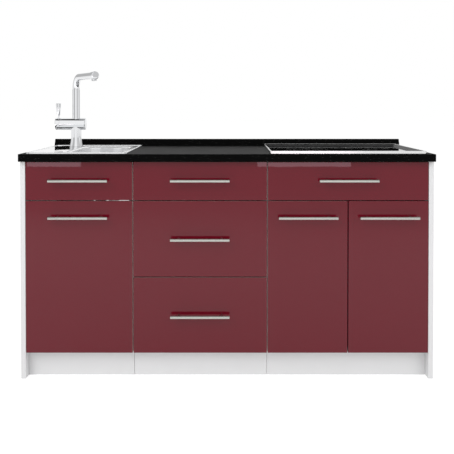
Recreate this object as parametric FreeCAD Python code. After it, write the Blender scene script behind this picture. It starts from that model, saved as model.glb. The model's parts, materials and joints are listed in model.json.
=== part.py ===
# Kitchenette unit: three base cabinets under one worktop, with an inset sink, a side-lever
# mixer tap and a built-in hob. Millimetres. +X runs to the right along the front, +Y to the
# wall, +Z up. The origin is on the floor, in the middle of the unit's width and depth.
import FreeCAD, Part
import math
import os

V = FreeCAD.Vector

# ---------------------------------------------------------------- driving dimensions
# Cabinets, from left to right
sink_cabinet_width = 400.0
drawer_cabinet_width = 500.0
hob_cabinet_width = 600.0
cabinet_depth = 556.0
board = 16.0
leg_height = 96.0
back_thickness = 4.0
back_inset = 20.0
groove_depth = 8.0
front_rail_height = 40.0
rear_rail_height = 100.0
wall_gap = 3.0
wall_hole_radius = 3.5
wall_hole_inset = 60.0

# Cheeks, plinth and shelf
cheek = 18.0
plinth_setback = 43.0
plinth_top_gap = 1.0
plinth_end_gap = 0.5
shelf_height = 290.0
shelf_setback = 30.0
shelf_side_gap = 1.0
shelf_pin_radius = 2.5
shelf_pin_length = 18.0
shelf_pin_inset = 60.0

# Fronts
front = 16.0
front_gap = 3.0
front_standoff = 2.0
top_front_height = 142.0
door_height = 567.0
top_front_gap = 2.5

# Worktop and the strip along the wall
worktop = 28.0
worktop_overhang = 23.0
worktop_end_overhang = 2.0
strip_height = 29.5
strip_depth = 21.0
strip_top_depth = 6.0

# Bar handles
bar_radius = 6.0
bar_length = 219.0
bar_chamfer = 0.8
post_radius = 4.5
post_spacing = 160.0
handle_reach = 35.0
door_handle_drop = 60.0
top_handle_rise = 3.0
handle_screw_radius = 2.0
screw_head_radius = 4.0
screw_head_height = 2.2
screw_depth_in_post = 12.0
screw_clearance = 0.25
thread_clearance = 0.05

# Drawers and their three-part runners
low_box_height = 70.0
high_box_height = 180.0
low_box_lift = 16.5
high_box_lift = 20.5
box_rear_gap = 34.0
box_side = 12.0
box_base = 6.0
box_base_lift = 8.0
runner_width = 12.7
runner_half_height = 22.5
runner_sheet = 1.2
runner_gap = 0.3
runner_setback = 2.0
high_runner_lift = 45.0

# Concealed hinges: the cup in the door, the link and the arm on the cabinet side
hinge_inset = 90.0
cup_radius = 17.5
cup_wall = 0.8
cup_depth = 11.4
cup_centre = 23.5
cup_wing_thickness = 0.8
cup_wing_reach = 26.0
cup_wing_half_width = 8.0
cup_bore_gap = 0.05
hinge_pin_x = 21.0
hinge_pin_radius = 1.2
link_clearance = 0.1
link_knuckle_radius = 2.4
link_length = 19.5
link_rise = 6.0
link_angle = -34.0
link_sheet = 1.2
link_half_width = 6.0
link_tip_radius = 1.1
arm_cheek_gap = 0.4
arm_cheek = 1.8
arm_half_depth = 2.4
arm_length = 36.0
arm_web_start = 10.0
plate_thickness = 2.6
plate_start = 14.0
plate_length = 34.0
plate_half_height = 24.0

# Adjustable legs and the clips that hold the plinth
leg_foot_radius = 24.0
leg_radius = 15.0
leg_plate_radius = 28.0
leg_plate = 6.0
leg_side_inset = 60.0
leg_front_inset = 75.0
leg_rear_inset = 60.0
clip_height = 20.0
clip_lift = 30.0
clip_wall = 3.0
clip_half_width = 8.0
clip_gap = 0.05

# Steel angle brackets
bracket_leg = 25.0
bracket_sheet = 2.0
bracket_rear_inset = 50.0

# Sink
sink_side_margin = 22.0
sink_right_margin = 21.0
sink_front_margin = 22.0
sink_rear_margin = 78.0
sink_rim_height = 6.0
sink_sheet = 1.0
sink_corner = 14.0
sink_cutout_margin_x = 14.0
sink_cutout_margin_y = 14.0
sink_cutout_corner = 15.0
tap_deck_width = 145.0
rear_deck_depth = 137.0
bowl_depth = 149.0
bowl_right_margin = 35.0
bowl_front_margin = 40.0
bowl_corner = 45.0
bowl_floor_round = 20.0
waste_hole_radius = 45.0
waste_flange_radius = 55.0
waste_flange = 1.5
waste_cup_depth = 34.0
waste_wall = 1.5
waste_gap = 0.4
tail_radius = 20.0
tail_wall = 1.5
tail_length = 105.0
strainer_gap = 0.6
strainer_wall = 1.2
strainer_depth = 26.0
strainer_knob_radius = 7.0
strainer_knob_height = 16.0
strainer_holes = 8
strainer_hole_radius = 3.0
strainer_hole_circle = 26.0
overflow_drop = 24.0
overflow_radius = 9.0
overflow_wall = 1.5
overflow_bend = 16.0
overflow_stand = 24.0
overflow_rose_width = 53.0
overflow_rose_height = 36.0
overflow_rose = 2.0

# Bottle trap
trap_radius = 32.0
trap_wall = 3.0
trap_length = 120.0
trap_drop = 24.0
trap_nut_radius = 27.0
outlet_radius = 20.0
outlet_wall = 2.0
outlet_drop = 26.0
outlet_nut_length = 22.0
outlet_wall_gap = 6.0
service_cutout_width = 180.0
service_cutout_height = 200.0

# Mixer tap
tap_from_left = 104.0
tap_from_rear = 82.0
tap_foot_radius = 28.0
tap_foot_height = 37.0
tap_column_radius = 22.0
tap_axis_height = 95.0
mixer_radius = 25.3
mixer_left_reach = 68.0
mixer_right_reach = 41.0
mixer_round = 4.0
riser_radius = 15.9
riser_top = 240.5
spout_radius = 14.5
spout_wall = 2.0
spout_overlap = 40.0
spout_fit = 0.05
spout_axis_height = 293.5
spout_bend = 48.0
spout_reach = 240.0
spout_turn = 30.0
spout_collar_radius = 16.5
spout_collar_length = 30.0
spout_end_round = 5.0
aerator_radius = 11.0
aerator_drop = 5.0
aerator_from_end = 17.5
aerator_seat = 8.0
shank_radius = 16.0
shank_length = 56.0
shank_hole_gap = 1.5
shank_nut_radius = 26.0
shank_nut = 9.0
tail_pipe_radius = 5.0
tail_pipe_length = 60.0
tail_pipe_offset = 7.5

# Lever hub and lever
hub_radius = 25.0
hub_width = 18.7
hub_gap = 0.3
hub_round = 2.0
spindle_radius = 8.0
spindle_length = 9.6
spindle_seat = 24.0
spindle_fit = 0.05
ball_radius = 6.0
ball_gap = 0.3
ball_height = 17.0
ball_offset = 2.0
neck_radius = 3.0
neck_gap = 0.4
neck_length = 12.0
lever_tilt = 25.0
lever_shoulder_radius = 8.0
lever_shoulder_height = 24.0
lever_radius = 10.5
lever_top_height = 70.0
lever_top_round = 1.5

# Hob
hob_side_margin = 10.0
hob_front_margin = 18.0
hob_rear_margin = 63.0
hob_frame_width = 5.0
hob_frame_height = 11.0
hob_frame_corner = 4.0
hob_rim_cover = 11.0
hob_cutout_corner = 6.0
hob_collar_gap = 0.5
hob_collar = 1.0
hob_ledge = 3.0
hob_ledge_width = 8.0
hob_glass_recess = 9.0
hob_glass_thickness = 4.0
tray_height = 47.0
tray_sheet = 1.0
tray_side_gap = 6.0
tray_rear_gap = 3.0
tray_rail_gap = 4.0
tray_lip_gap = 1.0
large_zone_radius = 90.0
small_zone_radius = 72.5
heater_rim = 8.0
heater_height = 28.0
heater_floor = 4.0
zone_offset_x = 135.0
zone_offset_y = 105.0
board_length = 120.0
board_depth = 30.0
board_height = 14.0
board_front_gap = 10.0
gland_radius = 9.0
gland_length = 16.0
gland_lift = 12.0

# ---------------------------------------------------------------- places that follow
worktop_depth = worktop_overhang + front + front_standoff + cabinet_depth + wall_gap
half_depth = (handle_reach + worktop_depth - worktop_overhang) / 2
wall_y = half_depth
face_y = handle_reach - half_depth
front_back_y = face_y + front
carcass_y = front_back_y + front_standoff
carcass_rear_y = carcass_y + cabinet_depth
worktop_front_y = wall_y - worktop_depth

cabinet_height = front_gap / 2 + door_height + front_gap + top_front_height + top_front_gap
carcass_z = leg_height
carcass_top_z = carcass_z + cabinet_height
worktop_top_z = carcass_top_z + worktop
floor_board_z = carcass_z + board
front_bottom_z = carcass_z + front_gap / 2
door_top_z = front_bottom_z + door_height
top_front_z = door_top_z + front_gap
drawer_front_height = (door_height - front_gap) / 2

cabinets_width = sink_cabinet_width + drawer_cabinet_width + hob_cabinet_width
sink_x = -cabinets_width / 2
drawer_x = sink_x + sink_cabinet_width
hob_x = drawer_x + drawer_cabinet_width
right_x = hob_x + hob_cabinet_width
cabinets = [(sink_x, drawer_x), (drawer_x, hob_x), (hob_x, right_x)]
worktop_left_x = sink_x - cheek - worktop_end_overhang
worktop_right_x = right_x + cheek + worktop_end_overhang

nodes = {}


# ---------------------------------------------------------------- shapes
def box(x0, x1, y0, y1, z0, z1):
    """A block between two corners, whichever way round each pair is given."""
    low = V(min(x0, x1), min(y0, y1), min(z0, z1))
    return Part.makeBox(abs(x1 - x0), abs(y1 - y0), abs(z1 - z0), low)


def rod(start, end, radius):
    """A round bar between two points."""
    along = end - start
    return Part.makeCylinder(radius, along.Length, start, along)


def turned(profile, x, y):
    """A closed profile of (radius, height) points, turned about a vertical axis."""
    points = [V(radius, 0, height) for radius, height in profile]
    face = Part.Face(Part.makePolygon(points + points[:1]))
    solid = face.revolve(V(0, 0, 0), V(0, 0, 1), 360)
    solid.translate(V(x, y, 0))
    return solid


def round_upright_edges(shape, radius):
    """Round the edges that stand straight up."""
    upright = []
    for edge in shape.Edges:
        first, last = edge.Vertexes[0].Point, edge.Vertexes[-1].Point
        if math.hypot(first.x - last.x, first.y - last.y) < 1e-6:
            upright.append(edge)
    return shape.makeFillet(radius, upright)


def round_floor_edges(shape, radius):
    """Round the edges that lie on the shape's lowest level."""
    low = shape.BoundBox.ZMin
    floor = [edge for edge in shape.Edges if edge.BoundBox.ZMax < low + 1e-3]
    return shape.makeFillet(radius, floor)


def round_end(shape, radius, x):
    """Round the circle that ends a bar along X, at the given place."""
    rims = [e for e in shape.Edges if abs(e.BoundBox.XMin - x) < 1e-3 and abs(e.BoundBox.XMax - x) < 1e-3]
    return shape.makeFillet(radius, rims)


def rounded_box(x0, x1, y0, y1, z0, z1, radius):
    """A block with its upright edges rounded."""
    return round_upright_edges(box(x0, x1, y0, y1, z0, z1), radius)


def tube_path(points, bend):
    """Straight runs through the points, joined by tangent arcs of one radius."""
    edges = []
    start = points[0]
    for corner, after in zip(points[1:], points[2:]):
        back = (start - corner).normalize()
        ahead = (after - corner).normalize()
        half_angle = back.getAngle(ahead) / 2
        setback = bend / math.tan(half_angle)
        arc_start = corner + back * setback
        arc_end = corner + ahead * setback
        bisector = (back + ahead).normalize()
        middle = corner + bisector * (bend / math.sin(half_angle) - bend)
        edges.append(Part.LineSegment(start, arc_start).toShape())
        edges.append(Part.Arc(arc_start, middle, arc_end).toShape())
        start = arc_end
    edges.append(Part.LineSegment(start, points[-1]).toShape())
    return Part.Wire(edges)


def bent_rod(points, bend, radius):
    """A round bar that follows straight runs and tangent bends."""
    path = tube_path(points, bend)
    ring = Part.Wire(Part.makeCircle(radius, points[0], points[1] - points[0]))
    return path.makePipeShell([ring], True, False)


def mirrored_at(shape, x):
    """The shape's mirror image, left for right, about the given place."""
    return shape.mirror(V(x, 0, 0), V(1, 0, 0))


# ---------------------------------------------------------------- cabinets
def cabinet_bodies():
    """Side boards, bottoms, back panels and top rails of the three cabinets."""
    sides, bottoms, backs, rails = [], [], [], []
    panel_front_y = carcass_rear_y - back_inset - back_thickness
    panel_rear_y = carcass_rear_y - back_inset
    for number, (left, right) in enumerate(cabinets):
        inner_left, inner_right = left + board, right - board
        groove = box(inner_left - groove_depth, inner_right + groove_depth, panel_front_y, panel_rear_y,
                     floor_board_z - groove_depth, carcass_top_z)
        for outer, inner in ((left, inner_left), (right, inner_right)):
            side = box(outer, inner, carcass_y, carcass_rear_y, carcass_z, carcass_top_z)
            sides.append(side.cut(groove))
        bottom = box(inner_left, inner_right, carcass_y, carcass_rear_y, carcass_z, floor_board_z)
        bottoms.append(bottom.cut(groove))
        back = groove
        rear_rail = box(inner_left, inner_right, panel_rear_y, panel_rear_y + board,
                        carcass_top_z - rear_rail_height, carcass_top_z)
        for x in (inner_left + wall_hole_inset, inner_right - wall_hole_inset):
            hole = rod(V(x, panel_front_y - 1, wall_hole_z), V(x, carcass_rear_y, wall_hole_z),
                       wall_hole_radius)
            back = back.cut(hole)
            rear_rail = rear_rail.cut(hole)
        if number == 0:
            back = back.cut(service_cutout())
        backs.append(back)
        rails.append(box(inner_left, inner_right, carcass_y, carcass_y + board,
                         carcass_top_z - front_rail_height, carcass_top_z))
        rails.append(rear_rail)
    nodes["cabinet_sides"] = drilled_for_shelf(sides)
    nodes["back_panels"] = backs
    nodes["cabinet_cross_boards"] = bottoms + rails


def shelf_pin_places():
    """The (side, y) places of the four pins that carry the shelf in the hob cabinet."""
    near = carcass_y + shelf_setback + shelf_pin_inset
    far = carcass_rear_y - back_inset - back_thickness - shelf_pin_inset
    return [(x, direction, y) for x, direction in ((hob_x + board, 1), (right_x - board, -1))
            for y in (near, far)]


def shelf_pins(gap):
    """Pins half in the side boards and half under the shelf, wider by the gap."""
    pins = []
    for x, direction, y in shelf_pin_places():
        start = V(x - direction * (groove_depth + gap), y, shelf_pin_z)
        end = V(x + direction * (shelf_pin_length - groove_depth), y, shelf_pin_z)
        pins.append(rod(start, end, shelf_pin_radius + gap))
    return pins


def drilled_for_shelf(sides):
    """The side boards with a blind hole for each shelf pin."""
    drilled = []
    for side in sides:
        for pin in shelf_pins(thread_clearance):
            side = side.cut(pin)
        drilled.append(side)
    return drilled


def shelf():
    """The loose shelf in the hob cabinet."""
    rear = carcass_rear_y - back_inset - back_thickness - shelf_side_gap
    nodes["hob_shelf"] = [box(hob_x + board + shelf_side_gap, right_x - board - shelf_side_gap,
                              carcass_y + shelf_setback, rear, shelf_z, shelf_z + board)]


def cheeks_and_plinth():
    """End cheeks down to the floor, and one plinth board under each cabinet."""
    nodes["end_cheeks"] = [
        box(sink_x - cheek, sink_x, face_y, carcass_rear_y, 0, carcass_top_z),
        box(right_x, right_x + cheek, face_y, carcass_rear_y, 0, carcass_top_z),
    ]
    nodes["plinth_boards"] = [
        box(left + plinth_end_gap, right - plinth_end_gap, plinth_y, plinth_y + board,
            0, carcass_z - plinth_top_gap)
        for left, right in cabinets
    ]


def legs():
    """Four plastic legs under each cabinet; the front ones hold the plinth with a clip."""
    profile = [(0, 0), (leg_foot_radius, 0), (leg_foot_radius, leg_plate), (leg_radius, 2 * leg_plate),
               (leg_radius, carcass_z - 2 * leg_plate), (leg_plate_radius, carcass_z - leg_plate),
               (leg_plate_radius, carcass_z), (0, carcass_z)]
    front_row_y = carcass_y + leg_front_inset
    rear_row_y = carcass_rear_y - leg_rear_inset
    pieces = []
    for left, right in cabinets:
        for x in (left + leg_side_inset, right - leg_side_inset):
            pieces.append(turned(profile, x, front_row_y))
            pieces.append(turned(profile, x, rear_row_y))
            pieces.append(plinth_clip(x, front_row_y))
    nodes["legs"] = pieces


def plinth_clip(x, y):
    """A ring round the leg with a block that reaches the back of the plinth board."""
    low, high = V(x, y, clip_lift), V(x, y, clip_lift + clip_height)
    ring = rod(low, high, leg_radius + clip_wall)
    block = box(x - clip_half_width, x + clip_half_width, plinth_y + board, y, low.z, high.z)
    return ring.fuse(block).cut(rod(low, high, leg_radius + clip_gap)).removeSplitter()


def angle_bracket(corner, x_direction, y0, z_direction):
    """A steel angle with one leg on a side board and one under the worktop."""
    upright = box(corner.x, corner.x + x_direction * bracket_sheet, y0, y0 + bracket_leg,
                  corner.z, corner.z + z_direction * bracket_leg)
    flat = box(corner.x, corner.x + x_direction * bracket_leg, y0, y0 + bracket_leg,
               corner.z, corner.z + z_direction * bracket_sheet)
    return upright.fuse(flat).removeSplitter()


def steel_fixings():
    """Angles that hold the worktop and the fixed front, and the shelf's pins."""
    pieces = []
    rear = carcass_rear_y - back_inset - back_thickness - bracket_rear_inset
    for left, right in cabinets:
        for x, direction in ((left + board, 1), (right - board, -1)):
            pieces.append(angle_bracket(V(x, 0, carcass_top_z), direction, rear, -1))
    middle_z = top_front_z + top_front_height / 2
    for x, direction in ((sink_x + board, 1), (drawer_x - board, -1)):
        on_front = box(x, x + direction * bracket_leg, front_back_y, carcass_y,
                       middle_z - bracket_leg, middle_z)
        on_side = box(x, x + direction * bracket_sheet, front_back_y, carcass_y + bracket_leg,
                      middle_z - bracket_leg, middle_z)
        pieces.append(on_front.fuse(on_side).removeSplitter())
    nodes["steel_fixings"] = pieces + shelf_pins(0)


def worktop_and_strip():
    """The worktop with its sink and hob cut-outs, and the sloped strip along the wall."""
    top = box(worktop_left_x, worktop_right_x, worktop_front_y, wall_y, carcass_top_z, worktop_top_z)
    sink_cutout = rounded_box(sink_left_x + sink_cutout_margin_x, sink_right_x - sink_cutout_margin_x,
                              sink_front_y + sink_cutout_margin_y, sink_rear_y - sink_cutout_margin_y,
                              carcass_top_z, worktop_top_z, sink_cutout_corner)
    hob_cutout = rounded_box(hob_middle_x - hob_cutout_width / 2, hob_middle_x + hob_cutout_width / 2,
                             hob_middle_y - hob_cutout_depth / 2, hob_middle_y + hob_cutout_depth / 2,
                             carcass_top_z, worktop_top_z, hob_cutout_corner)
    nodes["worktop"] = [top.cut(sink_cutout).cut(hob_cutout)]
    outline = [V(worktop_left_x, wall_y - strip_depth, worktop_top_z),
               V(worktop_left_x, wall_y - strip_top_depth, worktop_top_z + strip_height),
               V(worktop_left_x, wall_y, worktop_top_z + strip_height),
               V(worktop_left_x, wall_y, worktop_top_z)]
    end = Part.Face(Part.makePolygon(outline + outline[:1]))
    nodes["wall_strip"] = [end.extrude(V(worktop_right_x - worktop_left_x, 0, 0))]


# ---------------------------------------------------------------- fronts and handles
def handle_post_places(x):
    """Where the two posts of a handle stand."""
    return (x - post_spacing / 2, x + post_spacing / 2)


def bar_handle(x, z):
    """A round bar on two posts, with the screw that holds each post from behind."""
    bar_y = face_y - handle_reach + bar_radius
    bar = rod(V(x - bar_length / 2, bar_y, z), V(x + bar_length / 2, bar_y, z), bar_radius)
    rims = [edge for edge in bar.Edges if edge.BoundBox.XLength < 1e-3]
    handle = bar.makeChamfer(bar_chamfer, rims)
    screws = []
    for post_x in handle_post_places(x):
        post = rod(V(post_x, face_y, z), V(post_x, bar_y, z), post_radius)
        thread_end = V(post_x, face_y - screw_depth_in_post, z)
        bore = rod(V(post_x, face_y, z), thread_end, handle_screw_radius + thread_clearance)
        handle = handle.fuse(post).cut(bore)
        back = V(post_x, front_back_y, z)
        head = rod(back, back + V(0, screw_head_height, 0), screw_head_radius)
        screws.append(head.fuse(rod(back, thread_end, handle_screw_radius)))
    return [handle.removeSplitter()] + screws


def handle_height(z0, z1):
    """The height of a bar: the middle of its front, or a little more in the top row."""
    return (z0 + z1) / 2 + (top_handle_rise if z0 >= top_front_z else 0.0)


def front_panel(x0, x1, z0, z1, handle_x, handle_z):
    """A front with the two holes for its handle's screws."""
    panel = box(x0, x1, face_y, front_back_y, z0, z1)
    for post_x in handle_post_places(handle_x):
        hole = rod(V(post_x, face_y, handle_z), V(post_x, front_back_y, handle_z),
                   handle_screw_radius + screw_clearance)
        panel = panel.cut(hole)
    return panel


def fixed_front():
    """The front over the door of the sink cabinet, which doesn't open."""
    x0, x1 = sink_x + front_gap / 2, drawer_x - front_gap / 2
    z0, z1 = top_front_z, top_front_z + top_front_height
    middle_x, handle_z = (x0 + x1) / 2, handle_height(z0, z1)
    nodes["fixed_front"] = [front_panel(x0, x1, z0, z1, middle_x, handle_z)]
    nodes["fixed_front_handle"] = bar_handle(middle_x, handle_z)


# ---------------------------------------------------------------- doors and hinges
def hinge_cup():
    """A hinge cup for a left-hung door; x from the cabinet's outer side, y from its front."""
    mouth = V(cup_centre, -front_standoff, 0)
    floor = mouth - V(0, cup_depth, 0)
    wings = box(cup_centre - cup_wing_half_width, cup_centre + cup_wing_half_width,
                mouth.y, mouth.y + cup_wing_thickness, -cup_wing_reach, cup_wing_reach)
    hollow = rod(floor + V(0, cup_wall, 0), mouth + V(0, cup_wing_thickness, 0), cup_radius - cup_wall)
    return rod(floor, mouth, cup_radius).fuse(wings).cut(hollow).removeSplitter()


def cup_bore():
    """The hole in the door that takes a hinge cup."""
    mouth = V(cup_centre, -front_standoff, 0)
    return rod(mouth - V(0, cup_depth, 0), mouth, cup_radius + cup_bore_gap)


def hinge_link():
    """The bowed strip between the arm's pin and the cup, with the door shut."""
    half = link_length / 2
    bow_radius = (half * half + link_rise * link_rise) / (2 * link_rise)
    centre_drop = bow_radius - link_rise
    arc_half_angle = math.atan2(half, centre_drop)
    outer, inner = bow_radius + link_sheet / 2, bow_radius - link_sheet / 2

    def on_arc(radius, angle):
        return V(half + radius * math.sin(angle), radius * math.cos(angle) - centre_drop, -link_half_width)

    far = (on_arc(outer, arc_half_angle), on_arc(inner, arc_half_angle))
    near = (on_arc(outer, -arc_half_angle), on_arc(inner, -arc_half_angle))
    outline = Part.Wire([
        Part.Arc(near[0], on_arc(outer, 0), far[0]).toShape(),
        Part.LineSegment(far[0], far[1]).toShape(),
        Part.Arc(far[1], on_arc(inner, 0), near[1]).toShape(),
        Part.LineSegment(near[1], near[0]).toShape(),
    ])
    width = V(0, 0, 2 * link_half_width)
    strip = Part.Face(outline).extrude(width)
    base = V(0, 0, -link_half_width)
    tip = V(link_length, 0, -link_half_width)
    link = strip.fuse(rod(base, base + width, link_knuckle_radius))
    link = link.fuse(rod(tip, tip + width, link_tip_radius))
    link = link.cut(rod(base, base + width, hinge_pin_radius + link_clearance)).removeSplitter()
    link.rotate(V(0, 0, 0), V(0, 0, 1), link_angle)
    link.translate(V(hinge_pin_x, 0, 0))
    return link


def hinge_arm():
    """The arm and mounting plate on the cabinet side, with the pin that the link turns on."""
    plate_x = board + plate_thickness
    plate = box(board, plate_x, plate_start, plate_start + plate_length, -plate_half_height,
                plate_half_height)
    inner = link_half_width + arm_cheek_gap
    outer = inner + arm_cheek
    far_x = hinge_pin_x + arm_half_depth
    arm = plate
    for low, high in ((inner, outer), (-outer, -inner)):
        arm = arm.fuse(box(plate_x, far_x, -front_standoff, arm_length, low, high))
    arm = arm.fuse(box(far_x - arm_cheek, far_x, arm_web_start, arm_length, -inner, inner))
    pin = rod(V(hinge_pin_x, 0, -outer), V(hinge_pin_x, 0, outer), hinge_pin_radius)
    return arm.fuse(pin).removeSplitter()


def placed_on_side(shape, outer_x, hung_right, z):
    """A hinge piece put at its cabinet side, mirrored for a door that is hung on the right."""
    placed = shape.copy()
    placed.translate(V(outer_x, carcass_y, z))
    return mirrored_at(placed, outer_x) if hung_right else placed


def door(name, x0, x1, hung_right):
    """One door with its handle, and the cups and links of its two hinges."""
    middle_x, handle_z = (x0 + x1) / 2, door_top_z - door_handle_drop
    panel = front_panel(x0, x1, front_bottom_z, door_top_z, middle_x, handle_z)
    outer_x = x1 + front_gap / 2 if hung_right else x0 - front_gap / 2
    cups, links = [], []
    for z in (front_bottom_z + hinge_inset, door_top_z - hinge_inset):
        panel = panel.cut(placed_on_side(cup_bore(), outer_x, hung_right, z))
        cups.append(placed_on_side(hinge_cup(), outer_x, hung_right, z))
        links.append(placed_on_side(hinge_link(), outer_x, hung_right, z))
        nodes["hinge_arms"].append(placed_on_side(hinge_arm(), outer_x, hung_right, z))
    nodes[name + "_panel"] = [panel]
    nodes[name + "_handle"] = bar_handle(middle_x, handle_z)
    nodes[name + "_hinge_cups"] = cups
    nodes[name + "_hinge_links"] = links


def doors():
    """One door on the sink cabinet and a pair on the hob cabinet."""
    half_gap = front_gap / 2
    hob_middle = (hob_x + right_x) / 2
    nodes["hinge_arms"] = []
    door("sink_door", sink_x + half_gap, drawer_x - half_gap, False)
    door("hob_left_door", hob_x + half_gap, hob_middle - half_gap, False)
    door("hob_right_door", hob_middle + half_gap, right_x - half_gap, True)


# ---------------------------------------------------------------- drawers
def channel(web_x, tip_x, half_height, start_y, z):
    """A runner member: a flat web with a flange along its top and its bottom edge."""
    direction = 1 if tip_x > web_x else -1
    end_y = start_y + runner_length
    whole = box(web_x, tip_x, start_y, end_y, z - half_height, z + half_height)
    inner = half_height - runner_sheet
    return whole.cut(box(web_x + direction * runner_sheet, tip_x, start_y, end_y, z - inner, z + inner))


def runner(panel_x, direction, z):
    """The cabinet, middle and drawer members of one runner, nested with a running gap."""
    start_y = carcass_y + runner_setback
    step = runner_sheet + runner_gap
    tip = runner_width - runner_sheet - runner_gap
    outer_half = runner_half_height
    middle_half = outer_half - step
    inner_half = middle_half - step
    cabinet_member = channel(panel_x, panel_x + direction * tip, outer_half, start_y, z)
    middle_member = channel(panel_x + direction * step, panel_x + direction * tip, middle_half, start_y, z)
    drawer_member = channel(panel_x + direction * runner_width, panel_x + direction * 2 * step,
                            inner_half, start_y, z)
    return cabinet_member, middle_member, drawer_member


def drawer(name, left, right, z0, z1, box_z, box_height, runner_z):
    """One drawer: front, handle, box of sides, base and back, and its pair of runners."""
    x0, x1 = left + front_gap / 2, right - front_gap / 2
    middle_x, handle_z = (x0 + x1) / 2, handle_height(z0, z1)
    nodes[name + "_front"] = [front_panel(x0, x1, z0, z1, middle_x, handle_z)]
    nodes[name + "_handle"] = bar_handle(middle_x, handle_z)
    outer_left, outer_right = left + board + runner_width, right - board - runner_width
    inner_left, inner_right = outer_left + box_side, outer_right - box_side
    start_y, end_y = front_back_y, front_back_y + box_length
    base_z = box_z + box_base_lift
    base_top_z = base_z + box_base
    nodes[name + "_box"] = [
        box(outer_left, inner_left, start_y, end_y, box_z, box_z + box_height),
        box(inner_right, outer_right, start_y, end_y, box_z, box_z + box_height),
        box(inner_left, inner_right, start_y, end_y, base_z, base_top_z),
        box(inner_left, inner_right, end_y - box_side, end_y, base_top_z, box_z + box_height),
    ]
    middles, slides = [], []
    for panel_x, direction in ((left + board, 1), (right - board, -1)):
        cabinet_member, middle_member, drawer_member = runner(panel_x, direction, runner_z)
        nodes["drawer_runners"].append(cabinet_member)
        middles.append(middle_member)
        slides.append(drawer_member)
    nodes[name + "_runner_middles"] = middles
    nodes[name + "_slides"] = slides


def drawers():
    """Three drawers in the middle cabinet and a low one under the hob."""
    nodes["drawer_runners"] = []
    low_z = top_front_z + low_box_lift
    low_runner_z = low_z + low_box_height / 2
    top = top_front_z + top_front_height
    drawer("top_drawer", drawer_x, hob_x, top_front_z, top, low_z, low_box_height, low_runner_z)
    drawer("hob_drawer", hob_x, right_x, top_front_z, top, low_z, low_box_height, low_runner_z)
    for name, z0 in (("bottom_drawer", front_bottom_z),
                     ("middle_drawer", front_bottom_z + drawer_front_height + front_gap)):
        box_z = z0 + high_box_lift
        drawer(name, drawer_x, hob_x, z0, z0 + drawer_front_height, box_z, high_box_height,
               box_z + high_runner_lift)


# ---------------------------------------------------------------- sink and waste
def service_cutout():
    """The opening in the sink cabinet's back for the waste and water pipes."""
    return box(bowl_x - service_cutout_width / 2, bowl_x + service_cutout_width / 2,
               carcass_y, carcass_rear_y,
               outlet_z - service_cutout_height / 2, outlet_z + service_cutout_height / 2)


def in_sections(shape, splits_x, splits_y):
    """The pieces of a shape between upright cuts, so that each one is nearly convex."""
    bounds = shape.BoundBox
    pieces = []
    xs = [bounds.XMin - 1] + splits_x + [bounds.XMax + 1]
    ys = [bounds.YMin - 1] + splits_y + [bounds.YMax + 1]
    for x0, x1 in zip(xs, xs[1:]):
        for y0, y1 in zip(ys, ys[1:]):
            pieces += shape.common(box(x0, x1, y0, y1, bounds.ZMin - 1, bounds.ZMax + 1)).Solids
    return pieces


def sink():
    """A pressed sink: a raised flat deck with a turned-down rim, and a bowl welded into it."""
    x0, x1, y0, y1 = sink_left_x, sink_right_x, sink_front_y, sink_rear_y
    sheet = sink_sheet
    deck = rounded_box(x0, x1, y0, y1, worktop_top_z, deck_z, sink_corner)
    under = rounded_box(x0 + sheet, x1 - sheet, y0 + sheet, y1 - sheet, worktop_top_z, deck_z - sheet,
                        sink_corner - sheet)
    left, right = bowl_x - bowl_width / 2, bowl_x + bowl_width / 2
    near, far = bowl_y - bowl_length / 2, bowl_y + bowl_length / 2
    outside = rounded_box(left - sheet, right + sheet, near - sheet, far + sheet,
                          bowl_floor_z - sheet, deck_z, bowl_corner + sheet)
    inside = rounded_box(left, right, near, far, bowl_floor_z, deck_z, bowl_corner)
    outside = round_floor_edges(outside, bowl_floor_round + sheet)
    inside = round_floor_edges(inside, bowl_floor_round)
    deck = deck.cut(under).cut(outside)
    deck = deck.cut(rod(V(tap_x, tap_y, deck_z - sheet), V(tap_x, tap_y, deck_z),
                        shank_radius + shank_hole_gap))
    nodes["sink_deck"] = in_sections(deck, [left - sheet, right + sheet], [near - sheet, far + sheet])
    bowl = outside.cut(inside)
    bowl = bowl.cut(rod(V(bowl_x, bowl_y, bowl_floor_z - sheet), V(bowl_x, bowl_y, bowl_floor_z),
                        waste_hole_radius))
    bowl = bowl.cut(rod(V(bowl_x, far, overflow_z), V(bowl_x, far + sheet, overflow_z),
                        overflow_radius - overflow_wall))
    nodes["sink_bowl"] = in_sections(bowl, [left + bowl_corner, right - bowl_corner],
                                     [near + bowl_corner, bowl_y, far - bowl_corner])


def waste():
    """The flanged waste cup with its tail pipe, and the overflow's rose."""
    top = bowl_floor_z + waste_flange
    cup_outer = waste_hole_radius - waste_gap
    cup_inner = cup_outer - waste_wall
    cup_floor = bowl_floor_z - waste_cup_depth
    tail_bore = tail_radius - tail_wall
    profile = [(cup_inner, top), (waste_flange_radius, top), (waste_flange_radius, bowl_floor_z),
               (cup_outer, bowl_floor_z), (cup_outer, cup_floor - waste_wall),
               (tail_radius, cup_floor - waste_wall), (tail_radius, cup_floor - tail_length),
               (tail_bore, cup_floor - tail_length), (tail_bore, cup_floor), (cup_inner, cup_floor)]
    far = bowl_y + bowl_length / 2
    rose = box(bowl_x - overflow_rose_width / 2, bowl_x + overflow_rose_width / 2, far - overflow_rose,
               far, overflow_z - overflow_rose_height / 2, overflow_z + overflow_rose_height / 2)
    slot = overflow_radius - overflow_wall
    rose = rose.cut(rod(V(bowl_x, far - overflow_rose, overflow_z), V(bowl_x, far, overflow_z), slot))
    nodes["sink_waste"] = [turned(profile, bowl_x, bowl_y), rose]


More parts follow.
